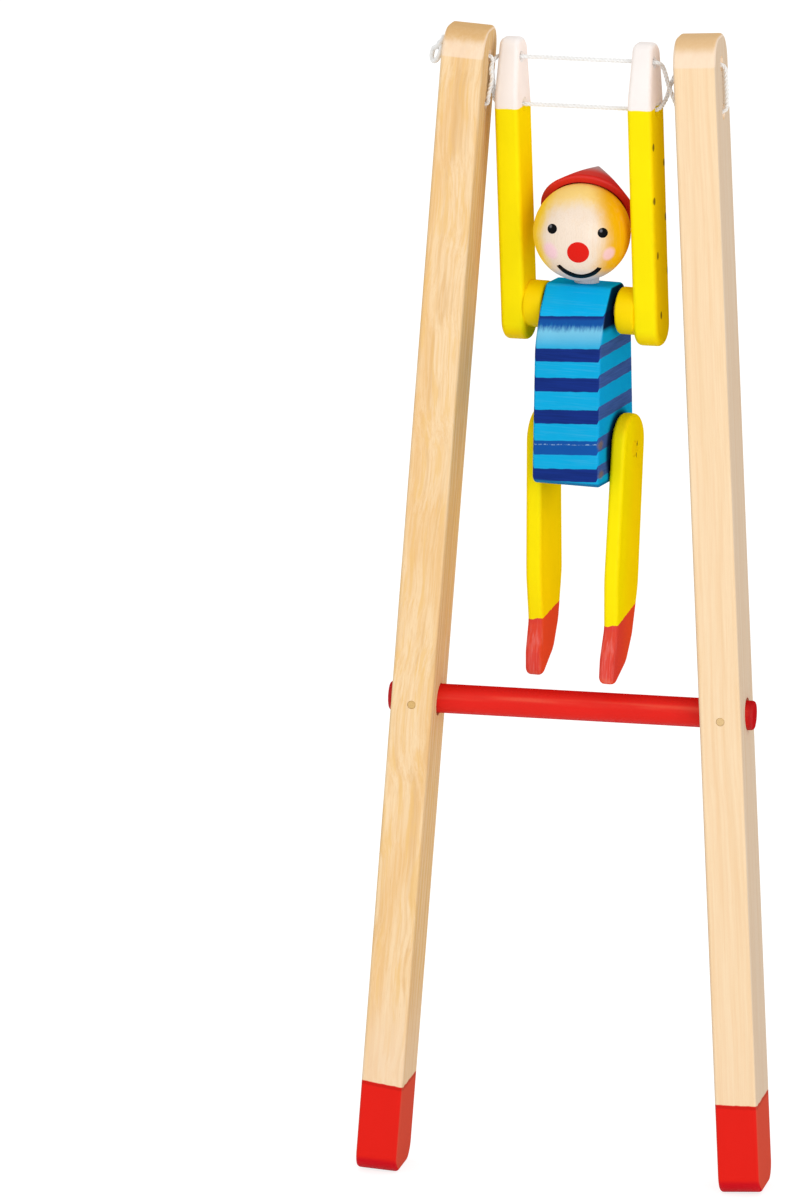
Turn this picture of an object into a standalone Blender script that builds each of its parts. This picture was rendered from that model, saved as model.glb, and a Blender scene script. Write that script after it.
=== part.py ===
"""Wooden acrobat toy: two squeezable uprights on a crossbar, a twisted string and a jointed figure."""
import math

import bmesh
import bpy
from mathutils import Matrix, Vector

MM = 0.001

# Clearances
GAP = 0.3 * MM
SWING_GAP = 0.4 * MM
PIN_RECESS = 0.2 * MM

# Uprights
UPRIGHT_WIDTH = 11.0 * MM
UPRIGHT_DEPTH = 20.0 * MM
UPRIGHT_ABOVE_STRING = 13.7 * MM
UPRIGHT_BELOW_PIN = 125.2 * MM
UPRIGHT_LEAN = math.radians(3.5)
UPRIGHT_TOP_ROUND = 7.5 * MM
UPRIGHT_FOOT_ROUND = 5.0 * MM
UPRIGHT_EDGE = 0.9 * MM
FOOT_PAINT = 24.0 * MM

# Crossbar and its pins
CROSSBAR_DIAMETER = 7.3 * MM
CROSSBAR_PAST_PIN = 7.93 * MM
CROSSBAR_EDGE = 0.8 * MM
PIN_DIAMETER = 2.1 * MM

# String
STRING_DIAMETER = 1.1 * MM
STRING_PITCH = 12.4 * MM
STRING_HOLE = 2.2 * MM
STRING_FLARE = 3.9 * MM
STRING_FLARE_DEPTH = 1.0 * MM
STRING_BEND = 1.9 * MM
STRING_STANDOFF = 1.0 * MM
STRING_SPREAD = 0.75 * MM
STRING_POINT_STEP = 1.4 * MM
STRING_RUN_STEP = 3.0 * MM
KNOT_SCALE = 0.78 * MM
KNOT_POINTS = 36
KNOT_STANDOFF = 1.2 * MM

# How the figure hangs, with room beside its hands and under its feet when it is stretched out straight
HAND_CLEARANCE = 3.65 * MM
FEET_CLEARANCE = 2.16 * MM
FIGURE_YAW = math.radians(-9.0)
ARM_LEAN = math.radians(4.0)
LEFT_LEG_SWING = math.radians(6.5)
RIGHT_LEG_SWING = math.radians(-6.0)

# Arms
ARM_THICKNESS = 5.9 * MM
ARM_DEPTH = 11.0 * MM
ARM_SPAN = 42.4 * MM
ARM_TO_SHOULDER = 58.9 * MM
ARM_BELOW_SHOULDER = 9.1 * MM
HAND_ABOVE_STRING = 10.9 * MM
HAND_LENGTH = 17.4 * MM
HAND_TOP_DEPTH = 6.9 * MM
HAND_TOP_THICKNESS = 4.7 * MM
HAND_BEND_RISE = 3.0 * MM
HAND_FRONT_ROUND = 15.0 * MM
HAND_BACK_ROUND = 3.6 * MM
HAND_TIP_ROUND = 2.2 * MM
ARM_EDGE = 0.8 * MM

# Shoulders
SHOULDER_DIAMETER = 12.2 * MM
SHOULDER_EDGE = 0.6 * MM
AXLE_DIAMETER = 4.0 * MM
AXLE_IN_ARM = 4.0 * MM

# Torso, sizes seen from the side and measured from the front face and the shoulder axis
TORSO_WIDTH = 17.0 * MM
TORSO_SHOULDER_DEPTH = 12.0 * MM
TORSO_HIP_DEPTH = 16.0 * MM
TORSO_HIP_DROP = 36.6 * MM
TORSO_BOTTOM_DROP = 44.7 * MM
TORSO_BELLY_DROP = 9.0 * MM
TORSO_CHEST_DEPTH = 3.2 * MM
TORSO_CHEST_DROP = 0.2 * MM
TORSO_RIDGE_RISE = 6.4 * MM
TORSO_RIDGE_DEPTH = 10.6 * MM
TORSO_TOP_DEPTH = 17.4 * MM
TORSO_BACK_TOP_DEPTH = 24.0 * MM
TORSO_SEAT_DEPTH = 27.6 * MM
TORSO_SEAT_DROP = 32.0 * MM
TORSO_EDGE = 0.8 * MM
TORSO_SEAT_SLOPE = 3.0 * MM
TORSO_BOTTOM_ROUND = 2.4 * MM
TORSO_SEAT_ROUND = 5.0 * MM
TORSO_RUMP_ROUND = 7.0 * MM
TORSO_BACK_ROUND = 5.0 * MM
TORSO_TOP_ROUND = 3.0 * MM
TORSO_RIDGE_ROUND = 1.6 * MM
TORSO_CHEST_ROUND = 10.0 * MM
TORSO_BELLY_ROUND = 12.0 * MM

# Head and hat
HEAD_DIAMETER = 25.0 * MM
HEAD_RISE = 20.1 * MM
HEAD_FORWARD = 3.4 * MM
HEAD_TURN = math.radians(8.0)
NECK_DIAMETER = 8.0 * MM
NECK_IN_HEAD = 5.0 * MM
NECK_FOOT_DROP = 1.0 * MM
HAT_DIAMETER = 25.0 * MM
HAT_BRIM_RISE = 5.2 * MM
HAT_BRIM_THICKNESS = 0.9 * MM
HAT_APEX_RISE = 21.9 * MM
HAT_TIP_ROUND = 0.9 * MM
HAT_BULGE = 0.9 * MM
HAT_TILT_BACK = math.radians(52.0)

# Legs, outline seen from the side and measured from the hip axis
LEG_THICKNESS = 4.0 * MM
LEG_TOP_RADIUS = 8.0 * MM
LEG_CALF_DEPTH = 10.4 * MM
LEG_CALF_DROP = 30.0 * MM
LEG_CALF_ROUND = 26.0 * MM
LEG_HEEL_DEPTH = 5.6 * MM
LEG_HEEL_DROP = 48.0 * MM
LEG_HEEL_ROUND = 9.0 * MM
LEG_TOE_DROP = 60.5 * MM
LEG_TOE_DEPTH = 3.4 * MM
LEG_TOE_ROUND = 1.4 * MM
LEG_EDGE = 0.7 * MM
SHOE_DROP = 45.5 * MM

# Facets
ARC_STEP = math.radians(11.0)
TURN_STEPS = 36
BORE_STEPS = 20

WOOD = ("bare_wood", (0.76, 0.58, 0.37, 1.0), 0.6)
PIN_WOOD = ("pin_wood", (0.82, 0.68, 0.47, 1.0), 0.55)
RED = ("red_paint", (0.74, 0.03, 0.04, 1.0), 0.3)
YELLOW = ("yellow_paint", (0.98, 0.72, 0.02, 1.0), 0.35)
HAND_PINK = ("hand_paint", (0.93, 0.8, 0.74, 1.0), 0.4)
BLUE = ("blue_paint", (0.02, 0.4, 0.74, 1.0), 0.35)
CREAM = ("face_paint", (0.95, 0.8, 0.5, 1.0), 0.4)
STRING_WHITE = ("string_white", (0.88, 0.88, 0.86, 1.0), 0.85)

# Sizes that follow from the ones above
TORSO_REACH = math.hypot(TORSO_HIP_DEPTH - TORSO_SHOULDER_DEPTH, TORSO_HIP_DROP)
LEG_REACH = math.hypot(LEG_TOP_RADIUS - LEG_TOE_ROUND, LEG_TOE_DROP - LEG_TOE_ROUND) + LEG_TOE_ROUND
STRING_HEIGHT = ARM_TO_SHOULDER + TORSO_REACH + LEG_REACH + FEET_CLEARANCE + CROSSBAR_DIAMETER / 2
STRING_ON_UPRIGHT = STRING_HEIGHT / math.cos(UPRIGHT_LEAN)
UPRIGHT_ABOVE_PIN = STRING_ON_UPRIGHT + UPRIGHT_ABOVE_STRING
UPRIGHT_LEANS_IN = UPRIGHT_WIDTH / 2 * math.cos(UPRIGHT_LEAN) + STRING_HEIGHT * math.tan(UPRIGHT_LEAN)
PIN_SPAN = ARM_SPAN + 2 * (HAND_CLEARANCE + UPRIGHT_LEANS_IN)
CROSSBAR_LENGTH = PIN_SPAN + 2 * CROSSBAR_PAST_PIN
FOOT_HEIGHT = (
    (UPRIGHT_BELOW_PIN - UPRIGHT_EDGE) * math.cos(UPRIGHT_LEAN)
    + (UPRIGHT_WIDTH / 2 - UPRIGHT_EDGE) * math.sin(UPRIGHT_LEAN)
    + UPRIGHT_EDGE
)
CROSSBAR_BORE = CROSSBAR_DIAMETER + 2 * (GAP + UPRIGHT_WIDTH / 2 * math.tan(UPRIGHT_LEAN))
PIN_BORE = PIN_DIAMETER + 2 * GAP
PIN_LENGTH = UPRIGHT_DEPTH - 2 * PIN_RECESS
AXLE_BORE = AXLE_DIAMETER + 2 * GAP
NECK_BORE = NECK_DIAMETER + 2 * GAP
ARM_INNER = ARM_SPAN / 2 - ARM_THICKNESS
SHOULDER_LENGTH = ARM_INNER - TORSO_WIDTH / 2 - GAP - SWING_GAP
SHOULDER_CENTRE = ARM_INNER - GAP - SHOULDER_LENGTH / 2
AXLE_LENGTH = 2 * (ARM_INNER + AXLE_IN_ARM)
LEG_CENTRE = TORSO_WIDTH / 2 + SWING_GAP + LEG_THICKNESS / 2
HIP_AXLE_LENGTH = 2 * (LEG_CENTRE + LEG_THICKNESS / 2 - PIN_RECESS)
TORSO_FRONT = -TORSO_SHOULDER_DEPTH

# Frames, each on the axis its pieces turn about
PIVOT = {}
for pin_side in (-1, 1):
    lean = Matrix.Rotation(-pin_side * UPRIGHT_LEAN, 4, "Y")
    PIVOT[pin_side] = Matrix.Translation((pin_side * PIN_SPAN / 2, 0, FOOT_HEIGHT)) @ lean
STRING_CENTRE = Vector((0, 0, FOOT_HEIGHT + STRING_HEIGHT))
FIGURE = Matrix.Translation(STRING_CENTRE) @ Matrix.Rotation(FIGURE_YAW, 4, "Z")
ARMS = FIGURE @ Matrix.Rotation(ARM_LEAN, 4, "X")
SHOULDER = ARMS @ Matrix.Translation((0, 0, -ARM_TO_SHOULDER)) @ Matrix.Rotation(-ARM_LEAN, 4, "X")
HIP = SHOULDER @ Matrix.Translation((0, TORSO_HIP_DEPTH - TORSO_SHOULDER_DEPTH, -TORSO_HIP_DROP))
HEAD = SHOULDER @ Matrix.Translation((0, -HEAD_FORWARD, HEAD_RISE)) @ Matrix.Rotation(HEAD_TURN, 4, "Z")
ALONG_X = Matrix.Rotation(math.pi / 2, 4, "Y")
ALONG_Y = Matrix.Rotation(math.pi / 2, 4, "X")


def paint(look):
    """Principled material of one colour, made once."""
    name, colour, roughness = look
    found = bpy.data.materials.get(name)
    if found:
        return found
    made = bpy.data.materials.new(name)
    made.use_nodes = True
    shader = made.node_tree.nodes["Principled BSDF"]
    shader.inputs["Base Color"].default_value = colour
    shader.inputs["Roughness"].default_value = roughness
    made.diffuse_color = colour
    return made


def axis_empty(name, matrix):
    """Empty that marks a joint axis and carries the pieces on it."""
    empty = bpy.data.objects.new(name, None)
    bpy.context.scene.collection.objects.link(empty)
    empty.empty_display_size = 0.02
    empty.matrix_world = matrix
    return empty


def place(name, data, carrier, looks, offset=Matrix()):
    """Object on its carrier, with its materials."""
    made = bpy.data.objects.new(name, data)
    bpy.context.scene.collection.objects.link(made)
    for look in looks:
        data.materials.append(paint(look))
    made.parent = carrier
    made.matrix_local = offset
    return made


def to_mesh(name, bm, smooth_angle=math.radians(32)):
    """Mesh from a bmesh, smooth except at its creases."""
    bmesh.ops.recalc_face_normals(bm, faces=bm.faces)
    data = bpy.data.meshes.new(name)
    bm.to_mesh(data)
    bm.free()
    data.shade_smooth()
    data.set_sharp_from_angle(angle=smooth_angle)
    return data


def fillet(corners):
    """Side outline through (depth, height, radius) corners, each rounded by its radius."""
    outline = []
    for index, (depth, height, radius) in enumerate(corners):
        here = Vector((depth, height))
        before = (Vector(corners[index - 1][:2]) - here).normalized()
        after = (Vector(corners[(index + 1) % len(corners)][:2]) - here).normalized()
        half = before.angle(after) / 2
        centre = here + (before + after).normalized() * (radius / math.sin(half))
        first = here + before * (radius / math.tan(half)) - centre
        last = here + after * (radius / math.tan(half)) - centre
        sweep = math.atan2(first.x * last.y - first.y * last.x, first.dot(last))
        steps = max(2, math.ceil(abs(sweep) / ARC_STEP))
        for step in range(steps + 1):
            turned_by = sweep * step / steps
            cos, sin = math.cos(turned_by), math.sin(turned_by)
            outline.append(centre + Vector((first.x * cos - first.y * sin, first.x * sin + first.y * cos)))
    return outline


def board(outline, thickness, edge, paint_above=None, taper=None):
    """Board cut to a side outline, rim rounded; faces past a paint line take the second material."""
    bm = bmesh.new()
    face = bm.faces.new([bm.verts.new((-thickness / 2, point.x, point.y)) for point in outline])
    grown = bmesh.ops.extrude_face_region(bm, geom=[face])
    moved = [item for item in grown["geom"] if isinstance(item, bmesh.types.BMVert)]
    bmesh.ops.translate(bm, verts=moved, vec=(thickness, 0, 0))
    bmesh.ops.remove_doubles(bm, verts=bm.verts, dist=1e-6)
    bmesh.ops.recalc_face_normals(bm, faces=bm.faces)
    if taper:
        start, end, end_thickness = taper
        bmesh.ops.bisect_plane(bm, geom=bm.verts[:] + bm.edges[:] + bm.faces[:], plane_co=(0, 0, start),
                               plane_no=(0, 0, 1))
        for vert in bm.verts:
            share = max(0.0, (vert.co.z - start) / (end - start))
            vert.co.x *= 1 + share * (end_thickness / thickness - 1)
    rim = [item for item in bm.edges if item.is_manifold and item.calc_face_angle() > math.radians(60)]
    bmesh.ops.bevel(bm, geom=rim, offset=edge, segments=2, profile=0.5, affect="EDGES", clamp_overlap=True)
    if paint_above:
        height, direction = paint_above
        if not taper:
            bmesh.ops.bisect_plane(bm, geom=bm.verts[:] + bm.edges[:] + bm.faces[:], plane_co=(0, 0, height),
                                   plane_no=(0, 0, 1))
        for item in bm.faces:
            if (item.calc_center_median().z - height) * direction > 0:
                item.material_index = 1
    return bm


def turned(profile, steps=TURN_STEPS):
    """Solid of revolution about Z from (radius, height) points that start and end on the axis."""
    bm = bmesh.new()
    verts = [bm.verts.new((radius, 0, height)) for radius, height in profile]
    edges = [bm.edges.new(pair) for pair in zip(verts, verts[1:])]
    bmesh.ops.spin(bm, geom=verts + edges, cent=(0, 0, 0), axis=(0, 0, 1), angle=math.tau, steps=steps,
                   use_merge=True)
    bmesh.ops.remove_doubles(bm, verts=bm.verts, dist=1e-6)
    bmesh.ops.recalc_face_normals(bm, faces=bm.faces)
    return bm


def rod_profile(diameter, length, edge):
    """Half outline of a rod with rounded ends."""
    radius = diameter / 2
    corner = [math.pi / 2 * step / 3 for step in range(4)]
    top = [(radius - edge + edge * math.sin(a), length / 2 - edge + edge * math.cos(a)) for a in corner]
    return [(0, length / 2)] + top + [(r, -h) for r, h in reversed(top)] + [(0, -length / 2)]


def hole_profile(diameter, length, flares=(0, 0)):
    """Half outline of a drill that flares at its two faces, its ends standing outside the stock."""
    radius = diameter / 2
    out = 2 * MM
    top = [(radius, length / 2 + out)]
    if flares[1]:
        wide = flares[1] / 2
        slope = (wide - radius) / STRING_FLARE_DEPTH
        top = [(wide + slope * out, length / 2 + out), (radius, length / 2 - STRING_FLARE_DEPTH)]
    bottom = [(radius, -length / 2 - out)]
    if flares[0]:
        wide = flares[0] / 2
        slope = (wide - radius) / STRING_FLARE_DEPTH
        bottom = [(radius, STRING_FLARE_DEPTH - length / 2), (wide + slope * out, -length / 2 - out)]
    return [(0, length / 2 + out)] + top + bottom + [(0, -length / 2 - out)]


def cut(target, bm, offset):
    """Take a hidden cutter out of a piece."""
    name = f"{target.name}_cutter_{len(target.modifiers)}"
    cutter = place(name, to_mesh(name, bm), target.parent, [], offset)
    cutter.hide_render = True
    cutter.display_type = "WIRE"
    hole = target.modifiers.new(name, "BOOLEAN")
    hole.operation = "DIFFERENCE"
    hole.solver = "EXACT"
    hole.object = cutter


def smooth_route(route, step):
    """Evenly spaced points on a smooth curve through the route."""
    route = [Vector(point) for point in route]
    ends = [2 * route[0] - route[1]] + route + [2 * route[-1] - route[-2]]
    fine = []
    for a, b, c, d in zip(ends, ends[1:], ends[2:], ends[3:]):
        for share in (i / 24 for i in range(24)):
            bend = 2 * a - 5 * b + 4 * c - d + share * (3 * (b - c) + d - a)
            fine.append(b + 0.5 * share * (c - a + share * bend))
    fine.append(route[-1])
    lengths = [0.0]
    for a, b in zip(fine, fine[1:]):
        lengths.append(lengths[-1] + (b - a).length)
    count = max(3, round(lengths[-1] / step))
    points = []
    index = 0
    for wanted in (lengths[-1] * i / count for i in range(count + 1)):
        while index < len(fine) - 2 and lengths[index + 1] < wanted:
            index += 1
        span = lengths[index + 1] - lengths[index]
        points.append(fine[index].lerp(fine[index + 1], (wanted - lengths[index]) / span))
    return points


def string(name, points, carrier, closed=False):
    """String along the given points."""
    curve = bpy.data.curves.new(name, "CURVE")
    curve.dimensions = "3D"
    curve.bevel_depth = STRING_DIAMETER / 2
    curve.bevel_resolution = 2
    curve.use_fill_caps = True
    spline = curve.splines.new("POLY")
    spline.points.add(len(points) - 1)
    for slot, point in zip(spline.points, points):
        slot.co = (*point, 1.0)
    spline.use_cyclic_u = closed
    return place(name, curve, carrier, [STRING_WHITE])


def build_upright(side, label, carrier):
    """Upright with its crossbar bore, pin bore and two string holes."""
    half = UPRIGHT_DEPTH / 2
    outline = fillet([
        (-half, -UPRIGHT_BELOW_PIN, UPRIGHT_FOOT_ROUND),
        (half, -UPRIGHT_BELOW_PIN, UPRIGHT_FOOT_ROUND),
        (half, UPRIGHT_ABOVE_PIN, UPRIGHT_TOP_ROUND),
        (-half, UPRIGHT_ABOVE_PIN, UPRIGHT_TOP_ROUND),
    ])
    bm = board(outline, UPRIGHT_WIDTH, UPRIGHT_EDGE, paint_above=(FOOT_PAINT - UPRIGHT_BELOW_PIN, -1))
    upright = place(f"{label}_upright", to_mesh(f"{label}_upright", bm), carrier, [WOOD, RED])
    cut(upright, turned(hole_profile(CROSSBAR_BORE, UPRIGHT_WIDTH)), ALONG_X)
    cut(upright, turned(hole_profile(PIN_BORE, UPRIGHT_DEPTH), BORE_STEPS), ALONG_Y)
    for level in (1, -1):
        height = STRING_ON_UPRIGHT + level * STRING_PITCH / 2
        drill = turned(hole_profile(STRING_HOLE, UPRIGHT_WIDTH, (STRING_FLARE, STRING_FLARE)), BORE_STEPS)
        cut(upright, drill, Matrix.Translation((0, 0, height)) @ ALONG_X)
    pin = turned(rod_profile(PIN_DIAMETER, PIN_LENGTH, PIN_RECESS), BORE_STEPS)
    place(f"{label}_pin", to_mesh(f"{label}_pin", pin), carrier, [PIN_WOOD], ALONG_Y)


def build_crossbar(carrier):
    """Crossbar, cross-drilled for the pins."""
    bm = turned(rod_profile(CROSSBAR_DIAMETER, CROSSBAR_LENGTH, CROSSBAR_EDGE))
    crossbar = place("crossbar", to_mesh("crossbar", bm), carrier, [RED], ALONG_X)
    for side in (-1, 1):
        drill = turned(hole_profile(PIN_BORE, CROSSBAR_DIAMETER), BORE_STEPS)
        cut(crossbar, drill, Matrix.Translation((side * PIN_SPAN / 2, 0, 0)) @ ALONG_Y)


def crossing(side, level):
    """World point where a strand passes the other one, halfway between upright and hand."""
    inner = PIVOT[side] @ Vector((-side * UPRIGHT_WIDTH / 2, 0, STRING_ON_UPRIGHT))
    hand = FIGURE @ Vector((side * ARM_SPAN / 2, 0, 0))
    return Vector(((inner.x + hand.x) / 2, level * STRING_SPREAD, STRING_CENTRE.z))


def strand_end(tip, toward):
    """Point just short of the crossing, so that the two halves of a strand don't touch."""
    return tip + (toward - tip).normalized() * GAP * 0.6


def inner_strand(side, level, matrix, face, height):
    """Route from a crossing into a hole mouth, in the frame of the piece that is drilled."""
    tip = matrix.inverted() @ crossing(side, level)
    out = -side if matrix is PIVOT[side] else side
    clear = face + out * STRING_STANDOFF
    sign = 1 if height > tip.z else -1
    depth = tip.y
    near = Vector((clear, depth, height - sign * STRING_BEND * 1.15))
    mouth = Vector((face + out * 0.45 * MM, depth * 0.25, height - sign * 0.42 * MM))
    inside = Vector((face - out * 1.1 * MM, 0, height))
    return [strand_end(tip, near), near, mouth, inside]


def outer_bend(side, height, sign):
    """Route round the outer mouth of a hole and onto the outer face, from inside the hole."""
    face = side * UPRIGHT_WIDTH / 2
    start = side * (UPRIGHT_WIDTH / 2 + STRING_STANDOFF - STRING_BEND)
    points = [Vector((start, 0, height))]
    for step in (1, 2, 3):
        angle = math.pi / 2 * step / 3
        across = start + side * STRING_BEND * math.sin(angle)
        points.append(Vector((across, 0, height - sign * STRING_BEND * (1 - math.cos(angle)))))
    points.append(Vector((face + side * STRING_STANDOFF, 0, height - sign * STRING_BEND * 1.6)))
    return points


def build_frame_string(side, label, carrier):
    """The string's part in one upright: from the crossing, through both holes and back."""
    upper = STRING_ON_UPRIGHT + STRING_PITCH / 2
    lower = STRING_ON_UPRIGHT - STRING_PITCH / 2
    face = -side * UPRIGHT_WIDTH / 2
    upper_in = inner_strand(side, 1, PIVOT[side], face, upper)
    lower_in = inner_strand(side, -1, PIVOT[side], face, lower)
    lower_out = outer_bend(side, lower, -1)
    if side > 0:
        upper_out = outer_bend(side, upper, 1)
        route = upper_in + upper_out + lower_out[::-1] + lower_in[::-1]
        string(f"{label}_string_loop", smooth_route(route, STRING_POINT_STEP), carrier)
        return
    mouth = Vector((side * (UPRIGHT_WIDTH / 2 + KNOT_STANDOFF - GAP), 0, upper))
    string(f"{label}_string_upper", smooth_route(upper_in + [mouth], STRING_POINT_STEP), carrier)
    below_knot = Vector((side * (UPRIGHT_WIDTH / 2 + STRING_STANDOFF), 0,
                         upper - 3 * KNOT_SCALE - STRING_DIAMETER / 2 - GAP))
    route = [below_knot] + lower_out[::-1] + lower_in[::-1]
    string(f"{label}_string_lower", smooth_route(route, STRING_POINT_STEP), carrier)
    knot = []
    for step in range(KNOT_POINTS):
        t = math.tau * step / KNOT_POINTS
        away = UPRIGHT_WIDTH / 2 + KNOT_STANDOFF + STRING_DIAMETER / 2 + KNOT_SCALE * (1 + math.sin(3 * t))
        knot.append(Vector((
            side * away,
            KNOT_SCALE * (math.sin(t) + 2 * math.sin(2 * t)),
            upper + KNOT_SCALE * (math.cos(t) - 2 * math.cos(2 * t)),
        )))
    string("string_knot", knot, carrier, closed=True)


def build_hand_string(level, label, carrier):
    """One run of the string from hand to hand, out to the crossing at both ends."""
    height = level * STRING_PITCH / 2
    ends = {}
    for side in (-1, 1):
        ends[side] = inner_strand(side, -level, ARMS, side * ARM_SPAN / 2, height)
    left = smooth_route(ends[-1] + [Vector((-ARM_INNER, 0, height))], STRING_POINT_STEP)
    right = smooth_route(ends[1] + [Vector((ARM_INNER, 0, height))], STRING_POINT_STEP)
    runs = round(2 * ARM_INNER / STRING_RUN_STEP)
    middle = [left[-1].lerp(right[-1], step / runs) for step in range(1, runs)]
    string(f"{label}_hand_string", left + middle + right[::-1], carrier)


def build_arm(side, label, carrier):
    """Arm with a pale hand, drilled for the string and blind-drilled for the shoulder axle."""
    half = ARM_DEPTH / 2
    hand_line = HAND_ABOVE_STRING - HAND_LENGTH
    bottom = -ARM_TO_SHOULDER - ARM_BELOW_SHOULDER
    outline = fillet([
        (-half, bottom, half * 0.98),
        (half, bottom, half * 0.98),
        (half, HAND_ABOVE_STRING, HAND_BACK_ROUND),
        (half - HAND_TOP_DEPTH, HAND_ABOVE_STRING, HAND_TIP_ROUND),
        (-half, hand_line + HAND_BEND_RISE, HAND_FRONT_ROUND),
    ])
    bm = board(outline, ARM_THICKNESS, ARM_EDGE, paint_above=(hand_line, 1),
               taper=(hand_line, HAND_ABOVE_STRING, HAND_TOP_THICKNESS))
    centre = side * (ARM_SPAN - ARM_THICKNESS) / 2
    arm = place(f"{label}_arm", to_mesh(f"{label}_arm", bm), carrier, [YELLOW, HAND_PINK],
                Matrix.Translation((centre, 0, 0)))
    flares = (STRING_FLARE, 0) if side < 0 else (0, STRING_FLARE)
    for level in (1, -1):
        drill = turned(hole_profile(STRING_HOLE, ARM_THICKNESS, flares), BORE_STEPS)
        cut(arm, drill, Matrix.Translation((centre, 0, level * STRING_PITCH / 2)) @ ALONG_X)
    socket = AXLE_IN_ARM + GAP
    blind = turned([(0, socket), (AXLE_BORE / 2, socket), (AXLE_BORE / 2, -socket), (0, -socket)], BORE_STEPS)
    cut(arm, blind, Matrix.Translation((side * ARM_INNER, 0, -ARM_TO_SHOULDER)) @ ALONG_X)


def build_shoulders(carrier):
    """Spacers between arms and torso, and the axle through them."""
    drop = Matrix.Translation((0, 0, -ARM_TO_SHOULDER))
    for side, label in ((-1, "left"), (1, "right")):
        where = drop @ Matrix.Translation((side * SHOULDER_CENTRE, 0, 0)) @ ALONG_X
        bm = turned(rod_profile(SHOULDER_DIAMETER, SHOULDER_LENGTH, SHOULDER_EDGE))
        spacer = place(f"{label}_shoulder", to_mesh(f"{label}_shoulder", bm), carrier, [YELLOW], where)
        cut(spacer, turned(hole_profile(AXLE_BORE, SHOULDER_LENGTH), BORE_STEPS), where)
    axle = turned(rod_profile(AXLE_DIAMETER, AXLE_LENGTH, SHOULDER_EDGE), BORE_STEPS)
    place("shoulder_axle", to_mesh("shoulder_axle", axle), carrier, [PIN_WOOD], drop @ ALONG_X)


def build_torso(carrier):
    """Torso with its axle bores and the seat of the neck."""
    front = TORSO_FRONT
    outline = fillet([
        (front, -TORSO_BOTTOM_DROP, TORSO_BOTTOM_ROUND),
        (front + TORSO_SEAT_DEPTH - TORSO_SEAT_SLOPE, -TORSO_BOTTOM_DROP, TORSO_SEAT_ROUND),
        (front + TORSO_SEAT_DEPTH, -TORSO_SEAT_DROP, TORSO_RUMP_ROUND),
        (front + TORSO_BACK_TOP_DEPTH, 0, TORSO_BACK_ROUND),
        (front + TORSO_TOP_DEPTH, TORSO_RIDGE_RISE, TORSO_TOP_ROUND),
        (front + TORSO_RIDGE_DEPTH, TORSO_RIDGE_RISE, TORSO_RIDGE_ROUND),
        (front + TORSO_CHEST_DEPTH, -TORSO_CHEST_DROP, TORSO_CHEST_ROUND),
        (front, -TORSO_BELLY_DROP, TORSO_BELLY_ROUND),
    ])
    bm = board(outline, TORSO_WIDTH, TORSO_EDGE)
    torso = place("torso", to_mesh("torso", bm), carrier, [BLUE])
    cut(torso, turned(hole_profile(AXLE_BORE, TORSO_WIDTH), BORE_STEPS), ALONG_X)
    hip = Matrix.Translation((0, TORSO_HIP_DEPTH - TORSO_SHOULDER_DEPTH, -TORSO_HIP_DROP)) @ ALONG_X
    cut(torso, turned(hole_profile(AXLE_BORE, TORSO_WIDTH), BORE_STEPS), hip)
    seat = -NECK_FOOT_DROP - GAP
    socket = turned([(0, HEAD_RISE), (NECK_BORE / 2, HEAD_RISE), (NECK_BORE / 2, seat), (0, seat)],
                    BORE_STEPS)
    cut(torso, socket, Matrix.Translation((0, -HEAD_FORWARD, 0)))
    axle = turned(rod_profile(AXLE_DIAMETER, HIP_AXLE_LENGTH, PIN_RECESS), BORE_STEPS)
    place("hip_axle", to_mesh("hip_axle", axle), carrier, [YELLOW], hip)


def build_head(carrier, torso_carrier):
    """Ball head on its neck, with the hat."""
    radius = HEAD_DIAMETER / 2
    ball = bmesh.new()
    bmesh.ops.create_uvsphere(ball, u_segments=32, v_segments=20, radius=radius)
    head = place("head", to_mesh("head", ball, math.radians(60)), carrier, [CREAM])
    neck_top = HEAD_RISE - radius + NECK_IN_HEAD
    socket_top = -radius + NECK_IN_HEAD + GAP
    socket = turned([(0, socket_top), (NECK_BORE / 2, socket_top), (NECK_BORE / 2, -2 * radius),
                     (0, -2 * radius)], BORE_STEPS)
    cut(head, socket, Matrix())
    length = neck_top + NECK_FOOT_DROP
    bm = turned(rod_profile(NECK_DIAMETER, length, PIN_RECESS), BORE_STEPS)
    neck = place("neck", to_mesh("neck", bm), torso_carrier, [PIN_WOOD],
                 Matrix.Translation((0, -HEAD_FORWARD, length / 2 - NECK_FOOT_DROP)))
    cut(neck, turned(hole_profile(AXLE_BORE, TORSO_WIDTH), BORE_STEPS), ALONG_X)
    brim = HAT_DIAMETER / 2
    lip = HAT_BRIM_THICKNESS / 2
    hollow = radius + GAP
    rim_angle = math.acos(HAT_BRIM_RISE / hollow)
    slope = math.atan2(HAT_APEX_RISE - HAT_BRIM_RISE, brim)
    profile = [(0, HAT_APEX_RISE)]
    for step in range(1, 4):
        lean = slope * step / 3
        profile.append((HAT_TIP_ROUND * math.sin(lean), HAT_APEX_RISE - HAT_TIP_ROUND * (1 - math.cos(lean))))
    rim = []
    for step in range(5):
        angle = math.pi / 2 - slope - (math.pi - slope) * step / 4
        rim.append((brim - lip + lip * math.cos(angle), HAT_BRIM_RISE + lip + lip * math.sin(angle)))
    tip = profile[-1]
    for share in (0.2, 0.4, 0.6, 0.8):
        out = HAT_BULGE * math.sin(math.pi * share)
        across = tip[0] + share * (rim[0][0] - tip[0]) + out * math.sin(slope)
        profile.append((across, tip[1] + share * (rim[0][1] - tip[1]) + out * math.cos(slope)))
    profile += rim
    for step in range(9):
        angle = rim_angle * (1 - step / 8)
        profile.append((hollow * math.sin(angle) if step < 8 else 0, hollow * math.cos(angle)))
    tilt = Matrix.Rotation(-HAT_TILT_BACK, 4, "X")
    place("hat", to_mesh("hat", turned(profile)), carrier, [RED], tilt)


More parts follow.
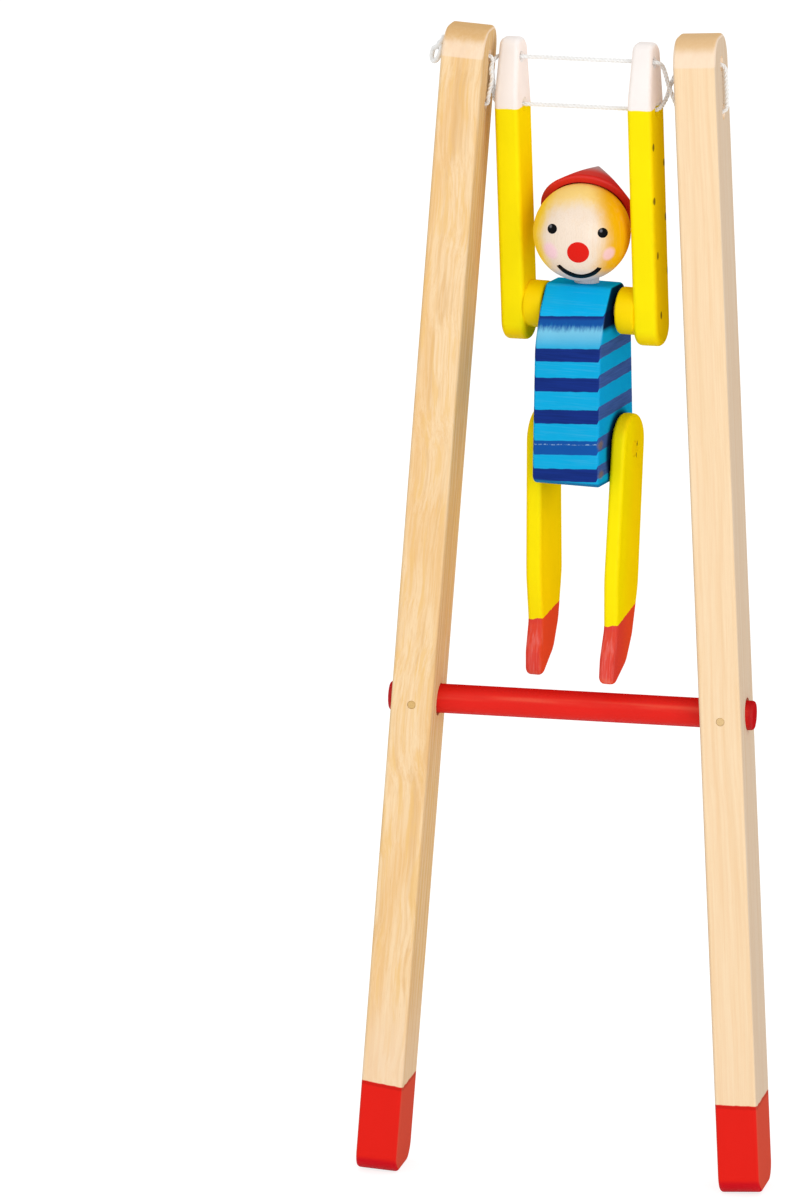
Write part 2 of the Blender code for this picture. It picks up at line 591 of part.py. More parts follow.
def build_leg(side, label, carrier):
    """Leg with a red shoe, bored for the hip axle."""
    outline = fillet([
        (-LEG_TOP_RADIUS, LEG_TOP_RADIUS, LEG_TOP_RADIUS * 0.98),
        (-LEG_TOP_RADIUS, -LEG_TOE_DROP, LEG_TOE_ROUND),
        (LEG_TOE_DEPTH - LEG_TOP_RADIUS, -LEG_TOE_DROP, LEG_TOE_ROUND),
        (LEG_HEEL_DEPTH, -LEG_HEEL_DROP, LEG_HEEL_ROUND),
        (LEG_CALF_DEPTH, -LEG_CALF_DROP, LEG_CALF_ROUND),
        (LEG_TOP_RADIUS, LEG_TOP_RADIUS, LEG_TOP_RADIUS * 0.98),
    ])
    bm = board(outline, LEG_THICKNESS, LEG_EDGE, paint_above=(-SHOE_DROP, -1))
    where = Matrix.Translation((side * LEG_CENTRE, 0, 0))
    leg = place(f"{label}_leg", to_mesh(f"{label}_leg", bm), carrier, [YELLOW, RED], where)
    cut(leg, turned(hole_profile(AXLE_BORE, LEG_THICKNESS), BORE_STEPS), where @ ALONG_X)


for old in list(bpy.data.objects):
    bpy.data.objects.remove(old)

frame_axis = axis_empty("crossbar_axis", Matrix.Translation((0, 0, FOOT_HEIGHT)))
build_crossbar(frame_axis)
for upright_side, upright_label in ((-1, "left"), (1, "right")):
    pivot_axis = axis_empty(f"{upright_label}_pivot_axis", PIVOT[upright_side])
    build_upright(upright_side, upright_label, pivot_axis)
    build_frame_string(upright_side, upright_label, pivot_axis)

arms_axis = axis_empty("flip_axis", ARMS)
build_hand_string(1, "upper", arms_axis)
build_hand_string(-1, "lower", arms_axis)
for arm_side, arm_label in ((-1, "left"), (1, "right")):
    build_arm(arm_side, arm_label, arms_axis)
build_shoulders(arms_axis)

torso_axis = axis_empty("shoulder_axis", SHOULDER)
build_torso(torso_axis)
build_head(axis_empty("head_centre", HEAD), torso_axis)
for leg_side, leg_label, leg_swing in ((-1, "left", LEFT_LEG_SWING), (1, "right", RIGHT_LEG_SWING)):
    hip_axis = axis_empty(f"{leg_label}_hip_axis", HIP @ Matrix.Rotation(leg_swing, 4, "X"))
    build_leg(leg_side, leg_label, hip_axis)
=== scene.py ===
import math
import bmesh
import bpy
from mathutils import Matrix, Vector
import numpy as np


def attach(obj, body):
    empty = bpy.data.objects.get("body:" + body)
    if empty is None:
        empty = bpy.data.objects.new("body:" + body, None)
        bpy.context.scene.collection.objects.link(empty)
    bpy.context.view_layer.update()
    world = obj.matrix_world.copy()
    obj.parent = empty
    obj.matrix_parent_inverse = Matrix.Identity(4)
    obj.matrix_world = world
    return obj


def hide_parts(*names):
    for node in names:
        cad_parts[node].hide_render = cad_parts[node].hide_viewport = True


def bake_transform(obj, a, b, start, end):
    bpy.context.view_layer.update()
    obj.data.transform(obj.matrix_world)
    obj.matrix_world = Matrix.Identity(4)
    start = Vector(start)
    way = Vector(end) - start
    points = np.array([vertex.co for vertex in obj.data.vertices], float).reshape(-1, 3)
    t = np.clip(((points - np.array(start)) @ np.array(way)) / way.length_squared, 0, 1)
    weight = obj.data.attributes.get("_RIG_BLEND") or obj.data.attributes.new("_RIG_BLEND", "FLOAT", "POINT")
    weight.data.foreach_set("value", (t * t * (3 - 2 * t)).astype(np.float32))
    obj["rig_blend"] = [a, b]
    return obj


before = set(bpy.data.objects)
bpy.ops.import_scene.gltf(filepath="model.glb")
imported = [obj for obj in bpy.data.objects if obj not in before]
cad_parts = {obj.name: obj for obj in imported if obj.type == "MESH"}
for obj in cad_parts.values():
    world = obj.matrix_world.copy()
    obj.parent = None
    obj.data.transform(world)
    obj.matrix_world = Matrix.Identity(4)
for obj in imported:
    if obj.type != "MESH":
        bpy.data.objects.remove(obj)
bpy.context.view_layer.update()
scene = bpy.context.scene
mm = 0.001
sides = {-1: "left", 1: "right"}
print("frame loaded,", len(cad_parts), "nodes")


# where the pieces stand, in mm and degrees
stance = {
    "pinHalfSpan": 40.272, "pinHeight": 125.249, "uprightLean": 3.5, "stringHeight": 287.644,
    "figureYaw": -9.0, "armLean": 4.0, "armToShoulder": 58.9, "armSkew": -1.5,
    "hipBack": 4.0, "hipDrop": 36.6, "headForward": 3.4, "headRise": 20.1, "headTurn": 8.0,
    "legSwing": {-1: 2.5, 1: -6.0},
}


def turn(degrees, axis):
    return Matrix.Rotation(math.radians(degrees), 4, axis)


def shift(x, y, z):
    return Matrix.Translation(Vector((x, y, z)) * mm)


uprightPlace = {}
for side in sides:
    pinPlace = shift(side * stance["pinHalfSpan"], 0, stance["pinHeight"])
    uprightPlace[side] = pinPlace @ turn(-side * stance["uprightLean"], "Y")
crossbarPlace = shift(0, 0, stance["pinHeight"])
figurePlace = shift(0, 0, stance["stringHeight"]) @ turn(stance["figureYaw"], "Z")
armsPlace = figurePlace @ turn(stance["armLean"], "X")
shoulderPlace = armsPlace @ shift(0, 0, -stance["armToShoulder"]) @ turn(-stance["armLean"], "X")
hipPlace = shoulderPlace @ shift(0, stance["hipBack"], -stance["hipDrop"])
facePlace = shoulderPlace @ shift(0, -stance["headForward"], stance["headRise"])
headPlace = facePlace @ turn(stance["headTurn"], "Z")
skewPlace = shoulderPlace @ turn(stance["armLean"], "X") @ turn(stance["armSkew"], "Y")
boardPlace = skewPlace @ shift(0, 0, stance["armToShoulder"])
legPlace = {side: hipPlace @ turn(stance["legSwing"][side], "X") for side in sides}
alongX = turn(90, "Y")
alongY = turn(90, "X")


# shader helpers: values may be sockets or plain numbers
noiseSpan = (0.3, 0.7)  # where most of a noise lies


def feed(value, socket):
    if isinstance(value, bpy.types.NodeSocket):
        socket.id_data.links.new(value, socket)
    else:
        socket.default_value = value


def addNode(kind, values, **settings):
    # goes into the same node tree as the sockets that feed it
    tree = next(value.id_data for value in values.values() if isinstance(value, bpy.types.NodeSocket))
    node = tree.nodes.new(kind)
    for name, setting in settings.items():
        setattr(node, name, setting)
    for name, value in values.items():
        feed(value, node.inputs[name])
    return node.outputs


def calc(operation, *values):
    return addNode("ShaderNodeMath", dict(enumerate(values)), operation=operation)[0]


def times(first, second):
    return calc("MULTIPLY", first, second)


def plus(first, second, share=None):
    # all of the second value, or a share of it
    return calc("ADD", first, second if share is None else times(second, share))


def minus(first, second, share=None):
    return calc("SUBTRACT", first, second if share is None else times(second, share))


def apart(first, second):
    return calc("ABSOLUTE", minus(first, second))


def sway(value, amount):
    # a noise made into a push either way
    return times(minus(value, 0.5), amount)


def vectorCalc(operation, *values):
    outputs = addNode("ShaderNodeVectorMath", dict(enumerate(values)), operation=operation)
    return outputs["Value" if operation in ("DOT_PRODUCT", "LENGTH") else "Vector"]


def stretch(vector, scale):
    return vectorCalc("MULTIPLY", vector, scale)


def spotReach(local, spot, size):
    # 0 at the spot's middle, 1 at its rim
    return vectorCalc("LENGTH", vectorCalc("DIVIDE", vectorCalc("SUBTRACT", local, spot), size))


def angleFrom(direction, other):
    return calc("ARCCOSINE", vectorCalc("DOT_PRODUCT", direction, other))


def noise(vector, grain, detail=2, rough=0.5, warp=0.0):
    values = {"Vector": stretch(vector, grain), "Scale": 1.0}
    values.update({"Detail": detail, "Roughness": rough, "Distortion": warp})
    return addNode("ShaderNodeTexNoise", values)["Fac"]


def rise(value, start, end, low=0.0, high=1.0):
    values = {"Value": value, "From Min": start, "From Max": end, "To Min": low, "To Max": high}
    return addNode("ShaderNodeMapRange", values, interpolation_type="SMOOTHSTEP")["Result"]


def mixed(share, *colours):
    first, second = (part if isinstance(part, bpy.types.NodeSocket) else (*part, 1.0) for part in colours)
    return addNode("ShaderNodeMix", {0: share, 6: first, 7: second}, data_type="RGBA")[2]


def layered(colour, *layers):
    # lays each (share, colour) over what is there
    for share, over in layers:
        colour = mixed(share, colour, over)
    return colour


def brighter(colour, factor):
    return addNode("ShaderNodeHueSaturation", {"Color": colour, "Value": factor})["Color"]


def toned(colour, factor):
    return [part * factor for part in colour]


def startFinish(name, place=Matrix()):
    # gives the material and its place on the piece's own axes, in mm
    material = bpy.data.materials.new(name)
    material.use_nodes = True
    coords = material.node_tree.nodes.new("ShaderNodeTexCoord")
    values = {"Vector": coords.outputs["Object"], "Scale": (mm, mm, mm)}
    values.update({"Location": place.translation, "Rotation": place.to_euler()})
    return material, addNode("ShaderNodeMapping", values, vector_type="TEXTURE")["Vector"]


def axes(vector):
    return addNode("ShaderNodeSeparateXYZ", {0: vector})


def rimOf(local):
    node = local.id_data.nodes.new("ShaderNodeAttribute")
    node.attribute_name = "rim"
    return node.outputs["Fac"]


def leaning(local, direction):
    normal = local.id_data.nodes.new("ShaderNodeTexCoord").outputs["Normal"]
    return vectorCalc("DOT_PRODUCT", normal, direction)


def facing(local, direction):
    # how squarely the surface looks along a line of the object, either way
    return calc("ABSOLUTE", leaning(local, direction))


def facingAxis(local, place, axis):
    return facing(local, place.col["XYZ".index(axis)].to_3d())


def surface(colour, roughness, gloss):
    shader = colour.id_data.nodes["Principled BSDF"]
    for name, value in (("Base Color", colour), ("Roughness", roughness), ("Specular IOR Level", gloss)):
        feed(value, shader.inputs[name])
    return shader


def relief(height, depth, strength):
    bump = addNode("ShaderNodeBump", {"Strength": strength, "Distance": depth * mm, "Height": height})
    feed(bump["Normal"], height.id_data.nodes["Principled BSDF"].inputs["Normal"])


paintCoat = {
    "cloudGrain": (0.14, 0.14, 0.08), "cloudTone": (0.975, 1.015),
    "peelGrain": (0.7, 0.7, 0.7), "peelDepth": 0.05, "peelStrength": 0.2, "speckGrain": (0.9, 0.9, 0.34),
    "thinFade": (0.45, 0.7, 0.0, 0.25), "thinTone": 0.8,
    "chipFrom": (0.78, 0.82), "chipColour": (0.15, 0.09, 0.012), "chipRoughness": 0.3,
    "roughness": (0.30, 0.44), "gloss": 0.05, "glossFacing": (0.35, 0.85),
    "washGrain": (0.3, 0.3, 0.3), "washTone": 0.95,
}


def coatOfPaint(local, colour, gloss=paintCoat["gloss"]):
    # satin paint, sanded dull on the flat sides, thin and here and there knocked off along the edges
    look = paintCoat
    rim = rimOf(local)
    cloud = noise(local, look["cloudGrain"], 3)
    peel = noise(local, look["peelGrain"])
    speck = noise(local, look["speckGrain"], 4, 0.62)
    clouded = brighter(colour, rise(cloud, *noiseSpan, *look["cloudTone"]))
    thin = times(rim, rise(speck, *look["thinFade"]))
    bare = times(rim, rise(speck, *look["chipFrom"]))
    painted = layered(clouded, (thin, brighter(clouded, look["thinTone"])), (bare, look["chipColour"]))
    roughness = plus(rise(peel, *noiseSpan, *look["roughness"]), bare, look["chipRoughness"])
    surface(painted, roughness, rise(facing(local, (0, 1, 0)), *look["glossFacing"], 0.0, gloss))
    relief(minus(peel, bare), look["peelDepth"], look["peelStrength"])


# the side tones are the same yellow, hand and shoe paints with the light and shade of the side and end faces
# painted in
paints = {
    "red": (0.76, 0.015, 0.009), "shoeRed": (0.72, 0.055, 0.036), "litShoeSide": (0.80, 0.075, 0.022),
    "yellow": (0.965, 0.80, 0.001), "shadedYellow": (0.998, 0.715, 0.002),
    "hand": (0.95, 0.885, 0.85), "shadedHand": (0.98, 0.86, 0.80),
    "lightBlue": (0.003, 0.39, 0.71), "darkBlue": (0.007, 0.027, 0.20),
}
coats = {  # front, side and end of a board
    "hand": ("hand", "shadedHand", "hand"), "yellow": ("yellow", "shadedYellow", "shadedYellow"),
    "shoe": ("shoeRed", "litShoeSide", "litShoeSide"),
}
dipLook = {
    "waverGrain": (0.45, 0.45, 0.1), "blur": 0.12, "sideFacing": (0.45, 0.95), "endFacing": (0.05, 0.7),
    # the streak tone with its grain and span makes a painted highlight down the shoe's front
    "highlightGrain": (1.6, 0.5, 0.09), "highlightFrom": (0.42, 0.68), "highlightDepth": (-5.5, -7.4),
    "streak": (0.90, 0.36, 0.34), "markFade": (1.15, 0.6, 0.0, 0.85), "markWaver": 0.5,
}


def plainPaint(name, place, colour):
    material, local = startFinish(name, place)
    wash = noise(local, paintCoat["washGrain"])
    coatOfPaint(local, mixed(wash, colour, toned(colour, paintCoat["washTone"])))
    return material


def dippedPaint(name, place, upper, lower, line, wobble,
                slope=0.0, tilt=0.0, marks=(), highlight=0.0, sideShadeFrom=None):
    # two coats that meet at a hand-dipped line; marks are small knocks through to the wood
    look = dipLook
    material, local = startFinish(name, place)
    x, y, z = axes(local)
    waver = sway(noise(local, look["waverGrain"], 3), 2 * wobble)
    height = minus(minus(plus(z, waver), y, slope), x, tilt)
    # side and end faces take the coats' side tones, which are painted light and shade
    onSide = rise(facingAxis(local, place, "X"), *look["sideFacing"])
    onEnd = rise(facingAxis(local, place, "Z"), *look["endFacing"])
    # on the right leg the painted side shade grows from the front of the side face to its back
    if sideShadeFrom:
        onSide = times(onSide, rise(y, *sideShadeFrom))
    tones = []
    for coat in (upper, lower):
        front, side, end = (paints[key] for key in coats[coat])
        tones.append(layered(front, (onSide, side), (onEnd, end)))
    above, below = tones
    # a painted highlight streak down the lower coat's front
    if highlight:
        streak = rise(noise(local, look["highlightGrain"], 3, 0.6), *look["highlightFrom"])
        below = mixed(times(streak, rise(y, *look["highlightDepth"], 0.0, highlight)), below, look["streak"])
    colour = mixed(rise(height, line - look["blur"], line + look["blur"]), below, above)
    for spot, size in marks:
        reach = plus(spotReach(local, spot, size), waver, look["markWaver"])
        knock = rise(reach, *look["markFade"])
        colour = mixed(knock, colour, paintCoat["chipColour"])
    coatOfPaint(local, colour)
    return material


bareWoodLook = {
    "wanderGrain": (0.05, 0.05, 0.011), "wander": 9.0, "driftGrain": (0.03, 0.03, 0.022),
    "fibreGrain": (1.5, 1.5, 0.02), "hairGrain": (7.0, 7.0, 0.14), "flameGrain": (0.62, 0.62, 0.05),
    "fleckGrain": (3.6, 3.6, 0.24), "broadGrain": (0.42, 0.42, 0.007), "cloudGrain": (0.16, 0.16, 0.06),
    "ringFrom": (-0.2, 1.0), "fibreFrom": (0.36, 0.68), "hairFrom": (0.5, 0.75), "flameFrom": (0.5, 0.66),
    "fleckFrom": (0.68, 0.78), "broadFrom": (0.5, 0.72),
    "ringShare": 0.55, "fibreShare": 0.7, "hairShare": 0.3, "fleckShare": 0.4, "broadShare": 0.45,
    "roughness": 0.5, "fibreRoughness": 0.08, "gloss": 0.12,
    "depth": 0.05, "strength": 0.3, "hairHeight": 0.7, "paintHeight": 1.2, "paintFill": 0.75,
    "rosy": (0.90, 0.69, 0.50), "rosyFrom": (-68.0, -98.0), "sideFacing": (0.5, 0.95),
    # the pale rounding tone is a painted highlight where the top rounds over
    "roundingHighlight": (0.95, 0.76, 0.60), "roundingHighlightFrom": (0.03, 0.1), "roundingHighlightTo": (0.8, 0.5, 0.0, 0.6),
    "endFade": (0.45, 0.85, 0.0, 0.9), "rubFade": (0.35, 0.65, 0.0, 0.25), "rubTone": 0.86,
    "footLine": -101.2, "footBlur": 0.15, "footGrain": (0.22, 0.22, 0.05), "footWobble": 0.5,
    "lipDrop": 0.5, "lipFrom": (0.9, 0.1), "lipTone": (1.03, 0.83), "paintRoughness": 0.3, "cloudTone": 0.93,
    # the foot's side red is a painted sheen and its sole red painted shade
    "sheenedSideRed": (0.62, 0.078, 0.046), "shadedSoleRed": (0.60, 0.005, 0.012), "soleShadeFrom": (0.12, 0.45),
    # each upright's side tint is painted shade on its side faces
    "left": {
        "pale": (0.925, 0.69, 0.42), "mid": (0.845, 0.54, 0.25), "dark": (0.69, 0.40, 0.155),
        "end": (0.78, 0.51, 0.25), "sideShadeTint": (0.86, 0.85, 0.83), "footTilt": 0.064, "rosyShare": 0.5,
        "flame": (0.85, 0.53, 0.19), "flameShare": 0.6, "sway": 9.0,
        "heart": (9.0, 26.0), "ringSpacing": 3.4, "streak": 1.0,
    },
    "right": {
        "pale": (0.92, 0.70, 0.455), "mid": (0.88, 0.62, 0.37), "dark": (0.76, 0.48, 0.23),
        "end": (0.80, 0.54, 0.29), "sideShadeTint": (0.78, 0.82, 0.95), "footTilt": 0.03, "rosyShare": 0.1,
        "flame": (0.87, 0.60, 0.33), "flameShare": 0.15, "sway": 2.0,
        "heart": (-40.0, 30.0), "ringSpacing": 2.6, "streak": 0.45,
    },
}


def bareWood(name, place, tones):
    look = bareWoodLook
    streak = tones["streak"]
    material, local = startFinish(name, place)
    spot = axes(local)

    # year rings round the heart, with fibres that run along the bar
    fromHeart = vectorCalc("SUBTRACT", stretch(local, (1.0, 1.0, 0.0)), (*tones["heart"], 0.0))
    wander = noise(local, look["wanderGrain"])
    radius = plus(vectorCalc("LENGTH", fromHeart), wander, look["wander"])
    ring = rise(calc("SINE", times(radius, math.tau / tones["ringSpacing"])), *look["ringFrom"])
    drift = minus(noise(local, look["driftGrain"]), 0.5)
    swayed = vectorCalc("ADD", local, stretch(drift, (tones["sway"], tones["sway"], 0.0)))
    fibre = noise(swayed, look["fibreGrain"], 4, 0.66)
    hair = noise(swayed, look["hairGrain"], 2, 0.6)
    flame = noise(swayed, look["flameGrain"], 4, 0.62)
    broad = noise(swayed, look["broadGrain"], 2, 0.6, 0.6)
    fleck = rise(noise(local, look["fleckGrain"], 1), *look["fleckFrom"])
    fibres = rise(fibre, *look["fibreFrom"], 0.0, look["fibreShare"])
    depth = plus(times(ring, look["ringShare"] * streak), fibres)
    wood = layered(
        tones["pale"], (depth, tones["mid"]),
        (times(rise(hair, *look["hairFrom"]), look["hairShare"] * streak), tones["dark"]),
        (times(fleck, look["fleckShare"] * streak), tones["dark"]),
        (rise(broad, *look["broadFrom"], 0.0, look["broadShare"] * streak), tones["dark"]),
        (rise(flame, *look["flameFrom"], 0.0, tones["flameShare"]), tones["flame"]),
        (rise(spot["Z"], *look["rosyFrom"], 0.0, tones["rosyShare"]), look["rosy"]),
    )

    # sides with painted shade, a painted highlight on the roundings, end grain and rubbed edges
    onSide = rise(facingAxis(local, place, "X"), *look["sideFacing"])
    lengthways = facingAxis(local, place, "Z")
    # a painted highlight on the roundings, fading out towards the end grain
    roundingHighlightTo = rise(lengthways, *look["roundingHighlightTo"])
    endGrain = mixed(fibre, tones["end"], tones["dark"])
    wood = layered(
        wood, (onSide, stretch(wood, tones["sideShadeTint"])),
        (times(rise(lengthways, *look["roundingHighlightFrom"]), roundingHighlightTo), look["roundingHighlight"]),
        (rise(lengthways, *look["endFade"]), endGrain),
    )
    cloud = noise(local, look["cloudGrain"], 3)
    rub = times(rimOf(local), rise(cloud, *look["rubFade"]))
    wood = mixed(rub, wood, brighter(wood, look["rubTone"]))

    # the red foot, with a thick lip of paint at its line, a painted sheen on its sides and painted shade on
    # its sole
    waver = sway(noise(local, look["footGrain"], 3), 2 * look["footWobble"])
    level = plus(plus(spot["Z"], waver), spot["X"], tones["footTilt"])
    painted = rise(level, look["footLine"] + look["footBlur"], look["footLine"] - look["footBlur"])
    lip = rise(apart(level, look["footLine"] - look["lipDrop"]), *look["lipFrom"])
    red = layered(
        paints["red"], (cloud, toned(paints["red"], look["cloudTone"])), (onSide, look["sheenedSideRed"]),
        (rise(lengthways, *look["soleShadeFrom"]), look["shadedSoleRed"]),
    )
    red = brighter(red, rise(lip, 0.0, 1.0, *look["lipTone"]))
    rough = rise(painted, 0.0, 1.0, look["roughness"], look["paintRoughness"])
    gloss = minus(look["gloss"], painted, look["gloss"] - paintCoat["gloss"])
    front = rise(facing(local, (0, 1, 0)), *paintCoat["glossFacing"])
    surface(mixed(painted, wood, red), plus(rough, fibre, look["fibreRoughness"]),
            times(front, gloss))
    grain = minus(plus(fibre, hair, look["hairHeight"]), fleck)
    height = times(grain, minus(1.0, painted, look["paintFill"]))
    relief(plus(height, painted, look["paintHeight"]), look["depth"], look["strength"])
    return material


pinWoodLook = {
    "grain": (5.0, 5.0, 0.6), "edgeFade": (0.6, 1.5, 0.0, 0.4), "edgeWaver": 0.5, "darkFrom": (0.4, 0.7),
    "roughness": (0.5, 0.68), "gloss": 0.1, "depth": 0.04, "strength": 0.4,
    "left": {"pale": (0.73, 0.48, 0.19), "dark": (0.58, 0.36, 0.13)},
    "right": {"pale": (0.77, 0.54, 0.27), "dark": (0.66, 0.44, 0.20)},
    "axle": {"pale": (0.72, 0.48, 0.20), "dark": (0.50, 0.30, 0.10)},
}


def pinWood(name, place, pale, dark):
    look = pinWoodLook
    material, local = startFinish(name, place)
    spot = axes(local)
    squares = [times(spot[key], spot[key]) for key in "XY"]
    fromAxis = calc("SQRT", plus(*squares))
    grain = noise(local, look["grain"], 4, 0.6)
    edge = rise(plus(fromAxis, grain, look["edgeWaver"]), *look["edgeFade"])
    colour = mixed(calc("MAXIMUM", edge, rise(grain, *look["darkFrom"])), pale, dark)
    surface(colour, rise(grain, *noiseSpan, *look["roughness"]), look["gloss"])
    relief(grain, look["depth"], look["strength"])
    return material


# mesh helpers
shaping = {
    "edgeSteps": 4, "cornerSteps": 10, "hardFrom": 55, "mergeWithin": 1e-6,
    "drillSteps": 32, "drillClear": 2.0, "flareDepth": 1.0, "rodSteps": 64, "smoothBelow": 34,
}


def newObject(name, data):
    item = bpy.data.objects.new(name, data)
    scene.collection.objects.link(item)
    return item


def meshFrom(name, bm):
    mesh = bpy.data.meshes.new(name)
    bm.to_mesh(mesh)
    bm.free()
    return mesh


def newShape():
    bm = bmesh.new()
    bm.loops.layers.float.new("rim")
    return bm


def softenRim(bm, edge):
    # rounds the hard edges and remembers the rounding, so that paint can wear there
    bmesh.ops.recalc_face_normals(bm, faces=bm.faces)
    hardFrom = math.radians(shaping["hardFrom"])
    hard = [item for item in bm.edges if item.is_manifold and item.calc_face_angle() > hardFrom]
    made = bmesh.ops.bevel(bm, geom=hard, offset=edge * mm, offset_type="OFFSET", affect="EDGES",
                           segments=shaping["edgeSteps"], profile=0.5, clamp_overlap=True, material=-1)
    rim = bm.loops.layers.float["rim"]
    strip = set(made["faces"])
    for face in strip:
        for loop in face.loops:
            loop[rim] = 1.0 if all(other in strip for other in loop.vert.link_faces) else 0.0


def board(corners, thickness, edge, taper=None):
    # corners are (depth, height, radius), seen from the side; taper is (start, end, end thickness)
    bm = newShape()
    flat = [bm.verts.new(Vector((-thickness / 2, depth, height)) * mm) for depth, height, radius in corners]
    bm.faces.new(flat)
    spans = []
    for index, vert in enumerate(flat):
        before = flat[index - 1].co - vert.co
        after = flat[(index + 1) % len(flat)].co - vert.co
        spans.append(corners[index][2] * mm / math.tan(before.angle(after) / 2))
    for vert, span in zip(flat, spans):
        bmesh.ops.bevel(bm, geom=[vert], offset=span, offset_type="OFFSET", segments=shaping["cornerSteps"],
                        profile=0.5, affect="VERTICES", material=-1)
    grown = bmesh.ops.extrude_face_region(bm, geom=bm.faces[:])
    moved = [item for item in grown["geom"] if isinstance(item, bmesh.types.BMVert)]
    bmesh.ops.translate(bm, verts=moved, vec=(thickness * mm, 0, 0))
    bmesh.ops.remove_doubles(bm, verts=bm.verts, dist=shaping["mergeWithin"])
    if taper:
        start, end, endThickness = taper
        whole = bm.verts[:] + bm.edges[:] + bm.faces[:]
        bmesh.ops.bisect_plane(bm, geom=whole, plane_co=(0, 0, start * mm), plane_no=(0, 0, 1))
        for vert in bm.verts:
            share = max(0.0, (vert.co.z / mm - start) / (end - start))
            vert.co.x *= 1 + share * (endThickness / thickness - 1)
    softenRim(bm, edge)
    return bm


def rod(diameter, length, edge, steps=shaping["rodSteps"]):
    bm = newShape()
    radius = diameter / 2 * mm
    bmesh.ops.create_cone(bm, cap_ends=True, segments=steps, radius1=radius, radius2=radius,
                          depth=length * mm)
    softenRim(bm, edge)
    return bm


def spun(profile, steps):
    # a few (radius, height) points on the axis plane, spun into a closed form
    bm = newShape()
    line = [bm.verts.new((radius * mm, 0, height * mm)) for radius, height in profile]
    edges = [bm.edges.new(pair) for pair in zip(line, line[1:])]
    bmesh.ops.spin(bm, geom=line + edges, cent=(0, 0, 0), axis=(0, 0, 1), angle=math.tau, steps=steps,
                   use_merge=True)
    bmesh.ops.remove_doubles(bm, verts=bm.verts, dist=shaping["mergeWithin"])
    bmesh.ops.recalc_face_normals(bm, faces=bm.faces)
    return bm


def drillBit(diameter, length, flare=0.0):
    # both mouths are eased where a flare is given; the ends stand clear of the wood
    radius, half = diameter / 2, length / 2
    clear, eased = shaping["drillClear"], shaping["flareDepth"]
    end = [(radius, half + clear)]
    if flare:
        slope = (flare - diameter) / 2 / eased
        end = [(radius + slope * (eased + clear), half + clear), (radius, half - eased)]
    farEnd = [(across, -height) for across, height in reversed(end)]
    return spun([(0, half + clear), *end, *farEnd, (0, -half - clear)], shaping["drillSteps"])


def tubeMesh(name, strands, radius, roundness, widths=()):
    # closed tubes along the strands
    curve = bpy.data.curves.new(name, "CURVE")
    curve.dimensions = "3D"
    curve.bevel_depth = radius
    curve.bevel_resolution = roundness
    curve.use_fill_caps = True
    for strand in strands:
        spline = curve.splines.new("POLY")
        spline.points.add(len(strand) - 1)
        for knot, point in zip(spline.points, strand):
            knot.co = (*point, 1.0)
        for knot, width in zip(spline.points, widths):
            knot.radius = width
    holder = bpy.data.objects.new(name + "Path", curve)
    mesh = bpy.data.meshes.new_from_object(holder)
    bpy.data.objects.remove(holder)
    return mesh


def makePiece(name, bm, place, material, body, replaced=(), holes=(),
              even=True, smooth=shaping["smoothBelow"]):
    bm.transform(place)
    piece = newObject(name, meshFrom(name, bm))
    bits = []
    for bit, where in holes:
        bit.transform(where)
        bits.append(newObject("bit", meshFrom("bit", bit)))
        hole = piece.modifiers.new("hole", "BOOLEAN")
        hole.operation = "DIFFERENCE"
        hole.solver = "EXACT"
        hole.object = bits[-1]
    if bits:
        drilled = bpy.data.meshes.new_from_object(piece.evaluated_get(bpy.context.evaluated_depsgraph_get()))
        piece.modifiers.clear()
        piece.data = drilled
        piece.data.name = name
        for bit in bits:
            bpy.data.objects.remove(bit)
    piece.data.materials.clear()
    piece.data.materials.append(material)
    piece.data.shade_smooth()
    piece.data.set_sharp_from_angle(angle=math.radians(smooth))
    if even:
        normals = piece.modifiers.new("evenNormals", "WEIGHTED_NORMAL")
        normals.keep_sharp = True
    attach(piece, body)
    if replaced:
        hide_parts(*replaced)


# camera first: the photograph's viewing angle, with the point between the pins on its pixel
photo = {
    "width": 795, "height": 1200, "pinPixel": (572.13, 705.4), "azimuth": 9.754, "elevation": 12.353,
    "roll": 1.084, "distance": 3000.0, "mmPerPixel": 0.2577, "sensor": 36.0,
}


def setCamera():
    azimuth, elevation, roll = (math.radians(photo[key]) for key in ("azimuth", "elevation", "roll"))
    out = math.cos(elevation)
    back = Vector((math.sin(azimuth) * out, -math.cos(azimuth) * out, math.sin(elevation)))
    level = Vector((math.cos(azimuth), math.sin(azimuth), 0))
    across = level * math.cos(roll) + back.cross(level) * math.sin(roll)
    looking = Matrix((across, back.cross(across), back)).transposed()
    focal = photo["distance"] / photo["mmPerPixel"]
    column, row = photo["pinPixel"]
    pixel = Vector((column - photo["width"] / 2, photo["height"] / 2 - row, -focal))
    aim = pixel.rotation_difference(Vector((0, 0, -1))).to_matrix()
    data = bpy.data.cameras.new("camera")
    data.sensor_fit = "VERTICAL"
    data.sensor_height = photo["sensor"]
    data.lens = focal / photo["height"] * photo["sensor"]
    camera = newObject("camera", data)
    eye = crossbarPlace.translation + back * photo["distance"] * mm
    camera.matrix_world = Matrix.Translation(eye) @ (looking @ aim).to_4x4()
    scene.camera = camera


setCamera()
print("camera set")


studio = {
    "worldLevel": 0.82, "floorSize": 12.0, "floorColour": (0.95, 0.95, 0.945), "floorRoughness": 0.9,
    "floorSeenShare": 0.35, "floorGlow": 0.81, "white": (1, 1, 1, 1), "aim": (0, 0, 0.15),
    "lights": {  # place, size and power
        "keyLight": ((-0.8, -1.8, 1.2), 1.3, 3.5), "fillLight": ((1.3, -1.75, 0.65), 1.4, 12.5),
    },
}


